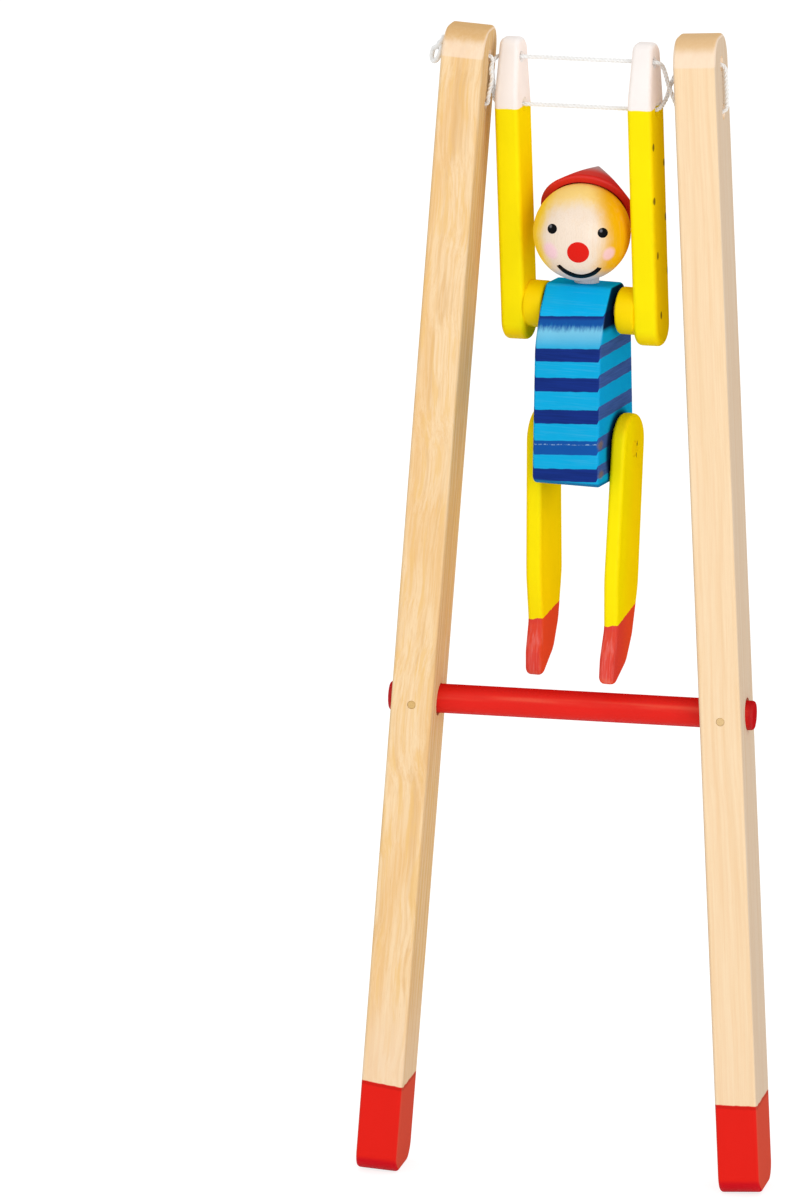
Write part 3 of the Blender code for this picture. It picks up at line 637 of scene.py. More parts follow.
def seenDirectly(tree):
    path = tree.nodes.new("ShaderNodeLightPath").outputs
    seen = calc("MAXIMUM", path["Is Glossy Ray"], path["Is Transmission Ray"])
    return calc("MAXIMUM", path["Is Camera Ray"], seen)


def areaLight(name, place, size, power):
    data = bpy.data.lights.new(name, "AREA")
    data.shape = "SQUARE"
    data.size = size
    data.energy = power
    light = newObject(name, data)
    light.location = place
    light.rotation_euler = (Vector(studio["aim"]) - Vector(place)).to_track_quat("-Z", "Y").to_euler()


def setStudio():
    scene.view_settings.view_transform = "Standard"
    world = bpy.data.worlds.new("studioWorld")
    scene.world = world
    world.use_nodes = True
    tree = world.node_tree
    sky = tree.nodes["Background"]
    sky.inputs["Color"].default_value = studio["white"]
    feed(calc("MAXIMUM", seenDirectly(tree), studio["worldLevel"]), sky.inputs["Strength"])
    bm = bmesh.new()
    bmesh.ops.create_grid(bm, x_segments=4, y_segments=4, size=studio["floorSize"] / 2)
    floor = newObject("floor", meshFrom("floor", bm))
    material = bpy.data.materials.new("paleFloor")
    material.use_nodes = True
    tree = material.node_tree
    seen = seenDirectly(tree)  # a white floor with a light shadow, and no more light on the toy
    dimmed = toned(studio["floorColour"], studio["floorSeenShare"])
    shader = surface(mixed(seen, studio["floorColour"], dimmed), studio["floorRoughness"], 0.0)
    feed(times(seen, studio["floorGlow"]), shader.inputs["Emission Strength"])
    shader.inputs["Emission Color"].default_value = studio["white"]
    floor.data.materials.append(material)
    for name, light in studio["lights"].items():
        areaLight(name, *light)


setStudio()
print("studio set")


# string: one loop through both uprights and both hands, crossing itself beside each hand
stringLook = {
    "plies": 3, "plyRadius": 0.29, "plyLay": 0.28, "plyRoundness": 2, "twistPitch": 3.4, "step": 0.28,
    "pitch": 12.4, "bend": 1.9, "standoff": 1.0, "innerStandoff": {-1: 0.6, 1: 1.0}, "spread": 0.75,
    "uprightHalf": 5.5, "armHalf": 21.2, "armInner": 15.3, "follow": 4.2, "nearDrop": 1.15,
    "mouthOut": 0.45, "mouthAcross": 0.25, "mouthDrop": 0.42, "inHole": 1.1,
    "runDrop": 1.6, "leftRunDrop": 2.0, "knotRadius": 0.62, "knotRoundness": 4, "knotStandoff": 1.2,
    "knot": [
        (0.4, 0.0, 0.0), (1.6, 0.2, 0.2), (2.6, 1.5, 1.0), (2.4, 1.2, 2.0), (1.6, -0.4, 1.9),
        (1.5, -1.7, 0.2), (2.2, -1.5, -1.9), (3.4, -0.1, -2.8), (4.2, 1.2, -1.8), (3.9, 1.2, 0.1),
        (3.0, 0.0, 0.9), (2.0, -0.9, 1.9), (1.3, -0.8, 3.2), (1.2, -0.2, 3.9),
    ],
    "colour": (0.95, 0.95, 0.94), "shade": (0.80, 0.79, 0.77), "lintGrain": (7.0, 7.0, 7.0),
    "tuftGrain": (1.3, 1.3, 1.3), "tuftShare": (0.35, 1.0), "roughness": (0.75, 0.95), "gloss": 0.5,
    "sheen": 0.3, "lintDepth": 0.06, "lintStrength": 0.6,
}
strandNodes = {
    -1: {1: "left_string_upper", -1: "left_string_lower"},
    1: {1: "right_string_loop", -1: "right_string_loop"},
}


def smoothRoute(route, step):
    # a smooth curve through every point
    route = [Vector(point) for point in route]
    ends = [2 * route[0] - route[1]] + route + [2 * route[-1] - route[-2]]
    fine = []
    for a, b, c, d in zip(ends, ends[1:], ends[2:], ends[3:]):
        count = max(2, round((c - b).length / step))
        for share in (i / count for i in range(count)):
            bend = 2 * a - 5 * b + 4 * c - d + share * (3 * (b - c) + d - a)
            fine.append(b + 0.5 * share * (c - a + share * bend))
    return fine + [route[-1]]


def plies(route):
    # helical plies round the route, on a frame that doesn't spin
    look = stringLook
    strands = [[] for ply in range(look["plies"])]
    across = (route[1] - route[0]).orthogonal().normalized()
    run = 0.0
    for index, point in enumerate(route):
        ahead = (route[min(index + 1, len(route) - 1)] - route[max(index - 1, 0)]).normalized()
        across = (across - ahead * across.dot(ahead)).normalized()
        beside = ahead.cross(across)
        run += (point - route[index - 1]).length if index else 0.0
        for ply, strand in enumerate(strands):
            angle = math.tau * (run / look["twistPitch"] + ply / look["plies"])
            strand.append(point + (across * math.cos(angle) + beside * math.sin(angle)) * look["plyLay"])
    return strands


def cotton():
    look = stringLook
    material, local = startFinish("cottonString")
    lint = noise(local, look["lintGrain"], 4, 0.7)
    tuft = rise(noise(local, look["tuftGrain"]), *noiseSpan, *look["tuftShare"])
    colour = mixed(times(lint, tuft), look["colour"], look["shade"])
    shader = surface(colour, rise(lint, *noiseSpan, *look["roughness"]), look["gloss"])
    shader.inputs["Sheen Weight"].default_value = look["sheen"]
    relief(lint, look["lintDepth"], look["lintStrength"])
    return material


stringFinish = cotton()


def stringPiece(name, route, place, body, replaced, follow=None, plain=False):
    # route in mm in the given frame; follow is (upright body, start, end) for a strand that is pulled out
    look = stringLook
    points = smoothRoute(route, look["step"])
    if plain:
        mesh = tubeMesh(name, [points], look["knotRadius"], look["knotRoundness"])
    else:
        mesh = tubeMesh(name, plies(points), look["plyRadius"], look["plyRoundness"])
    mesh.transform(place @ Matrix.Scale(mm, 4))
    mesh.materials.clear()
    mesh.materials.append(stringFinish)
    mesh.shade_smooth()
    piece = newObject(name, mesh)
    if follow:
        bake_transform(piece, "crossbar", *follow)
    else:
        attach(piece, body)
    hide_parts(*replaced)


def holeLevel(level):
    # height of a string hole on the upright's own axis
    middle = (stance["stringHeight"] - stance["pinHeight"]) / math.cos(math.radians(stance["uprightLean"]))
    return middle + level * stringLook["pitch"] / 2


def crossingPoint(side, level):
    look = stringLook
    inner = uprightPlace[side] @ (Vector((-side * look["uprightHalf"], 0, holeLevel(0))) * mm)
    hand = boardPlace @ (Vector((side * look["armHalf"], 0, 0)) * mm)
    return Vector(((inner.x + hand.x) / 2, level * look["spread"] * mm, stance["stringHeight"] * mm))


def innerStrand(side, level, place, face, out, height):
    # from the crossing into a hole
    look = stringLook
    tip = place.inverted() @ crossingPoint(side, level) / mm
    sign = 1 if height > tip.z else -1
    drop = sign * look["bend"] * look["nearDrop"]
    near = Vector((face + out * look["innerStandoff"][side], tip.y, height - drop))
    mouthHeight = height - sign * look["mouthDrop"]
    mouth = Vector((face + out * look["mouthOut"], tip.y * look["mouthAcross"], mouthHeight))
    inside = Vector((face - out * look["inHole"], 0, height))
    return [tip, near, mouth, inside]


def outerBend(side, height, sign):
    # out of a hole and round on to the upright's outer face
    look = stringLook
    bend = look["bend"]
    away = look["uprightHalf"] + look["standoff"]
    points = [Vector((side * (away - bend), 0, height))]
    for angle in (math.pi / 6, math.pi / 3, math.pi / 2):
        out = side * (away - bend + bend * math.sin(angle))
        points.append(Vector((out, 0, height - sign * bend * (1 - math.cos(angle)))))
    return points + [Vector((side * away, 0, height - sign * bend * look["runDrop"]))]


def stringUp():
    look = stringLook
    half, upper, lower = look["uprightHalf"], holeLevel(1), holeLevel(-1)
    for side, label in sides.items():
        place, body = uprightPlace[side], f"{label}_upright"
        for level, height, word in ((1, upper, "Upper"), (-1, lower, "Lower")):
            route = innerStrand(side, level, place, -side * half, -side, height)
            if side < 0 and level > 0:
                route += [Vector((side * (half + look["knotStandoff"]), 0, upper))]
            else:
                route += outerBend(side, height, level)[:1]
            start = crossingPoint(side, level)
            follow = (body, start, start + Vector((0, 0, level * look["follow"] * mm)))
            stringPiece(f"{label}Strand{word}", route, place, body, [strandNodes[side][level]], follow)
        run = outerBend(side, lower, -1)[::-1]
        if side > 0:
            stringPiece("rightOuterRun", outerBend(side, upper, 1) + run, place, body, ["right_string_loop"])
        else:
            top = Vector((side * (half + look["standoff"]), 0, upper - look["leftRunDrop"]))
            stringPiece("leftOuterRun", [top] + run, place, body, ["left_string_lower"])
            knot = [Vector((side * (half + out), across, upper + up)) for out, across, up in look["knot"]]
            stringPiece("stringKnot", knot, place, body, ["string_knot"], plain=True)
    for level, label in ((1, "upper"), (-1, "lower")):
        height = level * look["pitch"] / 2
        ends = []
        for side in sides:
            strand = innerStrand(side, -level, boardPlace, side * look["armHalf"], side, height)
            ends.append(strand + [Vector((side * look["armInner"], 0, height))])
        route = ends[0] + ends[1][::-1]
        stringPiece(f"{label}HandString", route, boardPlace, "arms", [f"{label}_hand_string"])


stringUp()
print("string laid")


upright = {
    "width": 11.0, "depth": 20.0, "abovePin": 176.399, "belowPin": 125.2, "topRound": 7.5, "footRound": 5.0,
    "edge": 0.9, "crossbarBore": 8.5, "pinBore": 2.18, "pin": 2.1, "pinLength": 19.9, "pinEdge": 0.12,
    "pinSteps": 32, "stringHole": 2.2, "stringFlare": 3.9,
}


def stringHoles(place, thickness, heights):
    holes = []
    for height in heights:
        bit = drillBit(upright["stringHole"], thickness, upright["stringFlare"])
        holes.append((bit, place @ shift(0, 0, height) @ alongX))
    return holes


def makeUprights():
    half, foot, top = upright["depth"] / 2, -upright["belowPin"], upright["abovePin"]
    footRound, topRound = upright["footRound"], upright["topRound"]
    corners = [(-half, foot, footRound), (half, foot, footRound),
               (half, top, topRound), (-half, top, topRound)]
    for side, label in sides.items():
        place, body = uprightPlace[side], f"{label}_upright"
        holes = [(drillBit(upright["crossbarBore"], upright["width"]), place @ alongX),
                 (drillBit(upright["pinBore"], upright["depth"]), place @ alongY)]
        holes += stringHoles(place, upright["width"], (holeLevel(1), holeLevel(-1)))
        wood = bareWood(f"{label}BareWood", place, bareWoodLook[label])
        bar = board(corners, upright["width"], upright["edge"])
        makePiece(f"{label}UprightBar", bar, place, wood, body, [body], holes)
        pegWood = pinWood(f"{label}PinWood", place @ alongY, **pinWoodLook[label])
        peg = rod(upright["pin"], upright["pinLength"], upright["pinEdge"], upright["pinSteps"])
        makePiece(f"{label}PinPeg", peg, place @ alongY, pegWood, body, [f"{label}_pin"])


makeUprights()
print("uprights made")


crossbar = {
    "diameter": 7.6, "length": 95.5, "edge": 0.8, "steps": 96, "gloss": 0.12, "washGrain": (0.5, 0.5, 0.04),
    # the dark tone is painted shade along the top and bottom, the streak a painted highlight along the upper
    # side, and the ends' tone painted shade where the bar stands out past the uprights
    "dark": (0.60, 0.010, 0.008), "edgeShadeFade": (0.55, 1.0, 0.0, 0.8),
    "streak": (0.84, 0.085, 0.045), "barHighlightUp": 0.36, "barHighlightFade": (0.3, 0.05),
    "washFade": (0.35, 0.65, 0.1, 0.8),
    "ends": (0.46, 0.008, 0.012), "endFade": (45.2, 47.2, 0.0, 0.85),
}


def crossbarPaint(place):
    look = crossbar
    material, local = startFinish("crossbarRed", place)
    wash = rise(noise(local, look["washGrain"], 3), *look["washFade"])
    up = leaning(local, (0, 0, 1))
    band = rise(apart(up, look["barHighlightUp"]), *look["barHighlightFade"])
    fromMiddle = calc("ABSOLUTE", axes(local)["Z"])
    # painted shade at the top, bottom and ends, and a painted highlight along the upper side
    colour = layered(
        paints["red"],
        (rise(calc("ABSOLUTE", up), *look["edgeShadeFade"]), look["dark"]),
        (times(band, wash), look["streak"]),
        (rise(fromMiddle, *look["endFade"]), look["ends"]),
    )
    coatOfPaint(local, colour, look["gloss"])
    return material


crossbarRod = rod(crossbar["diameter"], crossbar["length"], crossbar["edge"], crossbar["steps"])
makePiece("crossbarRod", crossbarRod, crossbarPlace @ alongX, crossbarPaint(crossbarPlace @ alongX),
          "crossbar", ["crossbar"])
print("crossbar made")


arm = {
    "thickness": 6.6, "depth": 11.0, "outerFace": 21.2, "below": 9.1, "aboveString": 10.9, "handLength": 17.4,
    "handTopDepth": 6.9, "handTaper": 0.8, "bendRise": 3.0, "edge": 1.3, "paintLine": {-1: -6.5, 1: -5.4},
    "paintWobble": 0.25, "endRound": 0.98, "frontRound": 15.0, "backRound": 3.6, "tipRound": 2.2,
    "knockSize": (0.6, 0.75, 1.15),
    "knocks": {-1: [], 1: [
        (3.2, -4.0, -15.1), (3.2, -4.3, -29.1), (3.2, -3.0, -43.7), (3.2, -1.6, -59.6),
        (3.2, 3.8, -20.7), (3.2, 3.8, -34.9), (3.2, 4.4, -49.1),
    ]},
}
# the shoulder paint is the shaded side yellow: painted shade on discs that sit between arms and torso
shoulder = {"diameter": 12.2, "length": 5.2, "edge": 0.7, "centre": 12.4, "paint": (0.998, 0.715, 0.001)}


def makeArms():
    thickness, half, top = arm["thickness"], arm["depth"] / 2, arm["aboveString"]
    line = top - arm["handLength"]
    bottom = -stance["armToShoulder"] - arm["below"]
    endRound = half * arm["endRound"]
    corners = [
        (-half, bottom, endRound), (half, bottom, endRound), (half, top, arm["backRound"]),
        (half - arm["handTopDepth"], top, arm["tipRound"]),
        (-half, line + arm["bendRise"], arm["frontRound"]),
    ]
    stringRise = stringLook["pitch"] / 2
    for side, label in sides.items():
        place = boardPlace @ shift(side * (arm["outerFace"] - thickness / 2), 0, 0)
        holes = stringHoles(place, thickness, (stringRise, -stringRise))
        marks = [(spot, arm["knockSize"]) for spot in arm["knocks"][side]]
        paint = dippedPaint(f"{label}ArmPaint", place, "hand", "yellow", arm["paintLine"][side],
                            arm["paintWobble"], marks=marks)
        shape = board(corners, thickness, arm["edge"], (line, top, thickness * arm["handTaper"]))
        makePiece(f"{label}ArmBoard", shape, place, paint, "arms", [f"{label}_arm"], holes)
        where = armsPlace @ shift(side * shoulder["centre"], 0, -stance["armToShoulder"]) @ alongX
        disc = rod(shoulder["diameter"], shoulder["length"], shoulder["edge"])
        # the discs take the orange shaded yellow, painted shade
        discPaint = plainPaint(f"{label}ShoulderPaint", where, shoulder["paint"])
        makePiece(f"{label}ShoulderDisc", disc, where, discPaint, "arms",
                  [f"{label}_shoulder"])


makeArms()
axlePlace = armsPlace @ shift(0, 0, -stance["armToShoulder"]) @ alongX
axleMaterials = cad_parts["shoulder_axle"].data.materials
axleMaterials.clear()
axleMaterials.append(pinWood("axleWood", axlePlace, **pinWoodLook["axle"]))
print("arms made")


torso = {
    "width": 17.9, "aside": -0.45, "front": -12.0, "bottomDrop": 44.7, "seatDepth": 27.6, "seatSlope": 3.0,
    "seatDrop": 32.0, "backTopDepth": 24.0, "topDepth": 17.4, "ridgeDepth": 8.2, "ridgeRise": 6.4,
    "chestDepth": 3.2, "chestDrop": 0.2, "bellyDrop": 9.0, "edge": 0.8, "axleBore": 4.6,
    "rounds": [2.4, 5.0, 7.0, 5.0, 3.0, 1.6, 10.0, 12.0],  # from the belly's foot, round by the back
    "bands": [
        (-0.92, -5.0, "wornAndSheen"), (-8.88, -12.25, "dark"), (-16.41, -20.05, "dark"), (-24.74, -28.38, "dark"),
        (-32.81, -36.46, "scratched"), (-40.11, -43.5, "dark"),
    ],
    "bandBlur": 0.12, "acrossTilt": 0.064, "backTilt": 0.02, "wobble": 0.2, "waverGrain": (0.35, 0.35, 0.5),
    "sideStep": (8.35, 8.85, 0.0, 0.9), "sideFacing": (0.5, 0.95),
    # the chest blue is painted light on the chest's upward slope
    "litChestBlue": (0.002, 0.445, 0.855), "litChestFrom": (-1.4, -0.6), "midBlue": (0.006, 0.085, 0.36),
    # the side inks are copies of the light and dark blue as lit on the side faces: painted light and shade
    "litSideLightBlue": (0.005, 0.365, 0.73), "litSideDarkBlue": (0.047, 0.105, 0.34), "paleBlue": (0.22, 0.60, 0.82),
    # the glow keys set a painted highlight in pale blue below the chest's edge
    "chestHighlightFade": (-10.0, -4.2, 0.0, 0.85), "chestHighlightTo": (-2.9, -3.5),
    "brushGrain": (0.10, 0.10, 2.6), "brushFade": (0.45, 0.75, 0.0, 0.09), "brushTone": (0.85, 1.15),
    "combGrain": (1.15, 0.4, 0.3), "combReach": 3.4, "smearFrom": (-2.7, -5.2), "wornFrom": (-1.1, -2.1),
    "dashGrain": (1.1, 0.5, 0.5), "scratchLevel": -34.1, "scratchWave": 0.6, "dashFrom": (0.43, 0.58),
    "scratchFade": (0.19, 0.06, 0.0, 0.65), "scratchColour": (0.34, 0.55, 0.76),
    "chips": [(8.5, -10.2, -33.5), (8.5, -9.6, -41.3)], "chipSize": (0.9, 1.9, 1.1), "chipWaver": 0.9,
    "chipFade": (1.4, 0.4, 0.0, 0.75), "chipColour": (0.22, 0.155, 0.11),
    # the bottom blue is painted shade on the downward rounding at the foot of the torso
    "shadedBottomBlue": (0.006, 0.15, 0.37), "bottomShadeFade": (-43.3, -43.9, 0.0, 0.9),
    # the rubbed blue is painted shade on the torso's sides round the shoulder and hip axles
    "axleShadeBlue": (0.002, 0.008, 0.035), "axleShadeShare": 0.95, "axleShadeEnd": 2.0,
    "axleShades": [  # axle, radii where the painted shade starts and is full, lowest height
        ((0, 0, 0), (14.0, 10.0), -3.0), ((0, stance["hipBack"], -stance["hipDrop"]), (11.2, 8.5), -60.0),
    ],
}


def stripedPaint(place):
    look = torso
    material, local = startFinish("torsoStripes", place)
    x, y, z = axes(local)
    comb = noise(local, look["combGrain"], 4, 0.65)
    dash = noise(local, look["dashGrain"], 3, 0.7)
    brush = noise(local, look["brushGrain"], 3, 0.6)
    onSide = rise(facingAxis(local, place, "X"), *look["sideFacing"])
    front = minus(1.0, onSide)

    # height along the stripes, which tilt a little and step where they pass an edge
    waver = sway(noise(local, look["waverGrain"], 3), 2 * look["wobble"])
    tilt = plus(times(x, look["acrossTilt"]), minus(y, look["front"]), look["backTilt"])
    past = rise(apart(x, look["aside"]), *look["sideStep"])
    height = minus(minus(plus(z, waver), tilt), past)

    # the light ground, with painted light on the chest's slope and a painted highlight below the chest's
    # edge, and three inks
    # painted light on the chest's upward slope
    litChest = rise(height, *look["litChestFrom"])
    # a painted highlight in a band below the chest's edge
    chestHighlight = times(rise(height, *look["chestHighlightFade"]), rise(height, *look["chestHighlightTo"]))
    brushed = rise(brush, *look["brushFade"])
    # on the side faces the light ground turns to its lit copy, painted light and shade
    light = layered(
        paints["lightBlue"], (litChest, look["litChestBlue"]), (onSide, look["litSideLightBlue"]),
        (times(chestHighlight, front), look["paleBlue"]), (times(brushed, front), look["paleBlue"]),
    )
    # on the side faces the dark inks turn to their lit copy, painted light and shade
    dark = mixed(onSide, paints["darkBlue"], look["litSideDarkBlue"])
    mid = mixed(onSide, look["midBlue"], look["litSideDarkBlue"])
    ragged = plus(height, sway(comb, look["combReach"]))
    smear = times(rise(ragged, *look["smearFrom"]), front)
    fromScratch = apart(height, plus(look["scratchLevel"], dash, look["scratchWave"]))
    line = rise(fromScratch, *look["scratchFade"])
    nick = times(times(line, rise(dash, *look["dashFrom"])), front)
    inks = {
        "dark": brighter(dark, rise(brush, *noiseSpan, *look["brushTone"])),
        "wornAndSheen": layered(dark, (rise(height, *look["wornFrom"]), mid), (smear, light)),
        "scratched": mixed(nick, mid, look["scratchColour"]),
    }

    colour = light
    blur = look["bandBlur"]
    for top, bottom, ink in look["bands"]:
        under = rise(height, top + blur, top - blur)
        band = times(rise(height, bottom - blur, bottom + blur), under)
        colour = mixed(band, colour, inks[ink])
    for spot in look["chips"]:
        reach = plus(spotReach(local, spot, look["chipSize"]), sway(dash, look["chipWaver"]))
        colour = mixed(rise(reach, *look["chipFade"]), colour, look["chipColour"])
    # painted shade on the torso's bottom rounding
    bottomShade = rise(z, *look["bottomShadeFade"])
    colour = mixed(bottomShade, colour, look["shadedBottomBlue"])
    # painted shade on the sides round the shoulder and hip axles, where the discs and legs stand close
    for axle, radii, lowest in look["axleShades"]:
        aside = stretch(vectorCalc("SUBTRACT", local, axle), (0.0, 1.0, 1.0))
        around = rise(vectorCalc("LENGTH", aside), *radii, 0.0, look["axleShadeShare"])
        axleShade = times(around, rise(z, lowest - look["axleShadeEnd"], lowest))
        colour = mixed(times(axleShade, onSide), colour, look["axleShadeBlue"])
    coatOfPaint(local, colour)
    return material


def makeTorso():
    front, bottom = torso["front"], -torso["bottomDrop"]
    outline = [
        (front, bottom), (front + torso["seatDepth"] - torso["seatSlope"], bottom),
        (front + torso["seatDepth"], -torso["seatDrop"]), (front + torso["backTopDepth"], 0),
        (front + torso["topDepth"], torso["ridgeRise"]), (front + torso["ridgeDepth"], torso["ridgeRise"]),
        (front + torso["chestDepth"], -torso["chestDrop"]), (front, -torso["bellyDrop"]),
    ]
    corners = [(*point, radius) for point, radius in zip(outline, torso["rounds"])]
    block = board(corners, torso["width"], torso["edge"])
    bmesh.ops.translate(block, verts=block.verts, vec=(torso["aside"] * mm, 0, 0))
    axles = (shoulderPlace, hipPlace)
    holes = [(drillBit(torso["axleBore"], torso["width"]), axle @ alongX) for axle in axles]
    makePiece("torsoBlock", block, shoulderPlace, stripedPaint(shoulderPlace), "torso",
              ["torso"], holes)


makeTorso()
print("torso made")


# angles on the head are (yaw, pitch) in degrees
head = {
    "diameter": 25.0, "aroundSteps": 96, "downSteps": 64, "smooth": 60, "faceYaw": 5.0,
    "grain": (1.1, 0.9, 0.07), "poreGrain": (6.0, 6.0, 0.5),
    "poreHeight": 0.5, "depth": 0.04, "strength": 0.2,
    "uneven": 0.16, "curve": 0.25, "roughness": (0.24, 0.34), "glossFade": (0.45, 0.95, 0.0, 0.5),
    "cream": (0.87, 0.72, 0.585),
    "tones": [  # what the tone follows, its fade and its colour; the gold on the sides is a painted reflection of the yellow arms, and the grey chin is painted shade
        ("crown", (0.58, 0.92, 0.0, 0.85), (0.98, 0.68, 0.17)),
        ("back", (-0.5, 0.2, 0.0, 0.7), (0.98, 0.68, 0.17)),
        ("left", (0.66, 0.94), (0.98, 0.68, 0.04)), ("right", (0.34, 0.78), (0.84, 0.44, 0.006)),
        ("right", (0.66, 0.94), (0.94, 0.50, 0.004)), ("grain", (0.45, 0.72, 0.0, 0.16), (0.80, 0.52, 0.24)),
        ("shadedChin", (-0.60, -0.9, 0.0, 0.85), (0.56, 0.53, 0.56)),
    ],
    "blush": (0.95, 0.60, 0.70), "blushShare": 0.8, "blushFrom": (1.15, 0.55), "blushWaver": 0.05,
    "cheeks": [(-32.5, -16.5, 12.0), (45.8, -18.2, 9.5)],
    "eyes": [(-28.7, 10.9, 1.52), (35.3, 8.4, 1.46)], "eyeHeight": 1.28,
    "nose": (5.4, -15.6), "noseWidth": 2.85, "noseHeight": 2.95,
    "smile": [
        (-25.5, -35.5), (-20.5, -43.0), (-12.5, -49.6), (-3.0, -54.0), (9.5, -55.8), (20.5, -54.0),
        (29.5, -49.8), (35.0, -44.0), (38.0, -37.6),
    ],
    "smileWidth": 2.5, "smileStep": 0.3, "smileRoundness": 5, "smileEnds": 0.6, "smileMerge": 1e-5,
    "filmHeight": 0.09, "filmSink": 0.12, "filmArc": (0, 18, 36, 54, 70, 82, 90), "filmSteps": 48,
    "filmSmooth": 50, "filmDepth": 0.03, "filmStrength": 0.3,
    "filmGrain": (1.4, 1.4, 1.4), "filmTone": 0.9, "filmRoughness": (0.18, 0.3), "filmGloss": 0.04,
    "ink": (0.004, 0.004, 0.005),
    "glint": (0.16, 0.16, 0.18), "glintAside": (-2.4, 2.6), "glintFrom": (2.8, 0.6),
}
headCentre = headPlace.translation.copy()


def lookingAt(yaw, pitch):
    yaw, pitch = math.radians(yaw), math.radians(pitch)
    return Vector((math.sin(yaw) * math.cos(pitch), -math.cos(yaw) * math.cos(pitch), math.sin(pitch)))


def headLacquer():
    look = head
    material, local = startFinish("headLacquer", Matrix.Translation(headCentre) @ turn(look["faceYaw"], "Z"))
    out = vectorCalc("NORMALIZE", local)
    x, y, z = axes(out)
    grain = noise(local, look["grain"], 4, 0.6, 0.4)
    pore = noise(local, look["poreGrain"])
    uneven = sway(grain, look["uneven"])
    curved = plus(times(calc("ABSOLUTE", z), look["curve"]), uneven)
    ways = {
        "crown": plus(plus(z, uneven), calc("ABSOLUTE", x), look["curve"]), "back": y, "shadedChin": z,
        "left": minus(curved, x), "right": plus(curved, x), "grain": grain,
    }
    # gold on the sides is a painted reflection of the yellow arms; the grey under the chin is painted shade
    colour = layered(look["cream"], *((rise(ways[way], *fade), tone) for way, fade, tone in look["tones"]))
    turned = turn(-look["faceYaw"], "Z").to_3x3()
    for yaw, pitch, size in look["cheeks"]:
        near = angleFrom(out, turned @ lookingAt(yaw, pitch))
        ragged = plus(near, sway(pore, look["blushWaver"]))
        start, end = (math.radians(size * share) for share in look["blushFrom"])
        colour = mixed(rise(ragged, start, end, 0.0, look["blushShare"]), colour, look["blush"])
    gloss = rise(facing(local, (0, 1, 0)), *look["glossFade"])
    surface(colour, rise(pore, *noiseSpan, *look["roughness"]), gloss)
    relief(plus(grain, pore, look["poreHeight"]), look["depth"], look["strength"])
    return material


def filmPaint(name, colour, glints=()):
    look = head
    material, local = startFinish(name, Matrix.Translation(headCentre))
    daub = noise(local, look["filmGrain"], 3)
    shade = mixed(daub, colour, toned(colour, look["filmTone"]))
    start, end = (math.radians(angle) for angle in look["glintFrom"])
    for yaw, pitch in glints:
        near = angleFrom(vectorCalc("NORMALIZE", local), lookingAt(yaw, pitch))
        shade = mixed(rise(near, start, end), shade, look["glint"])
    surface(shade, rise(daub, *noiseSpan, *look["filmRoughness"]), look["filmGloss"])
    relief(daub, look["filmDepth"], look["filmStrength"])
    return material


def dotOnHead(name, yaw, pitch, halfWidth, halfHeight, material, slot):
    # a dab of paint that follows the ball and stands a little proud of it
    lift, sink, ball = head["filmHeight"], head["filmSink"], head["diameter"] / 2
    arc = [math.radians(angle) for angle in head["filmArc"]]
    crown = [(math.sin(angle), lift * math.cos(angle)) for angle in arc]
    bm = spun(crown + [(1, -sink), (0, -sink)], head["filmSteps"])
    ahead = lookingAt(yaw, pitch)
    across = Vector((0, 0, 1)).cross(ahead).normalized()
    above = ahead.cross(across)
    for vert in bm.verts:
        flat = Vector((vert.co.x * halfWidth, vert.co.y * halfHeight)) / mm
        angle = flat.length / ball
        side = (across * flat.x + above * flat.y).normalized()
        vert.co = headCentre + (ahead * math.cos(angle) + side * math.sin(angle)) * (ball * mm + vert.co.z)
    bmesh.ops.recalc_face_normals(bm, faces=bm.faces)
    makePiece(name, bm, Matrix(), material, "torso", even=False, smooth=head["filmSmooth"])


def smileOnHead(material):
    ball, radius = head["diameter"] / 2, head["smileWidth"] / 2
    route = smoothRoute([lookingAt(yaw, pitch) * ball for yaw, pitch in head["smile"]], head["smileStep"])
    strand = [point.normalized() * ball for point in route]
    ends, last = head["smileEnds"], len(strand) - 1
    # narrower ends read even, as the middle is seen aslant
    widths = [ends + (1 - ends) * math.sin(math.pi * index / last) for index in range(last + 1)]
    mesh = tubeMesh("smile", [strand], radius, head["smileRoundness"], widths)
    bm = newShape()
    bm.from_mesh(mesh)
    bpy.data.meshes.remove(mesh)
    bmesh.ops.remove_doubles(bm, verts=bm.verts, dist=head["smileMerge"])
    for vert in bm.verts:
        lift = (vert.co.length - ball) * head["filmHeight"] / radius
        vert.co = headCentre + vert.co.normalized() * (ball + lift) * mm
    bmesh.ops.recalc_face_normals(bm, faces=bm.faces)
    makePiece("smileLine", bm, Matrix(), material, "torso",
              even=False, smooth=head["filmSmooth"])


def makeHead():
    ball = newShape()
    bmesh.ops.create_uvsphere(ball, u_segments=head["aroundSteps"], v_segments=head["downSteps"],
                              radius=head["diameter"] / 2 * mm)
    makePiece("headBall", ball, headPlace, headLacquer(), "torso", ["head"],
              even=False, smooth=head["smooth"])
    aside, up = head["glintAside"]
    ink = filmPaint("eyeInk", head["ink"], [(yaw + aside, pitch + up) for yaw, pitch, width in head["eyes"]])
    for label, (yaw, pitch, width) in zip(sides.values(), head["eyes"]):
        dotOnHead(f"{label}EyeDot", yaw, pitch, width, head["eyeHeight"], ink, "face_paint")
    noseRed = filmPaint("noseRed", paints["red"])
    dotOnHead("noseDot", *head["nose"], head["noseWidth"], head["noseHeight"], noseRed, "red_paint")
    smileOnHead(ink)


makeHead()
print("head made")


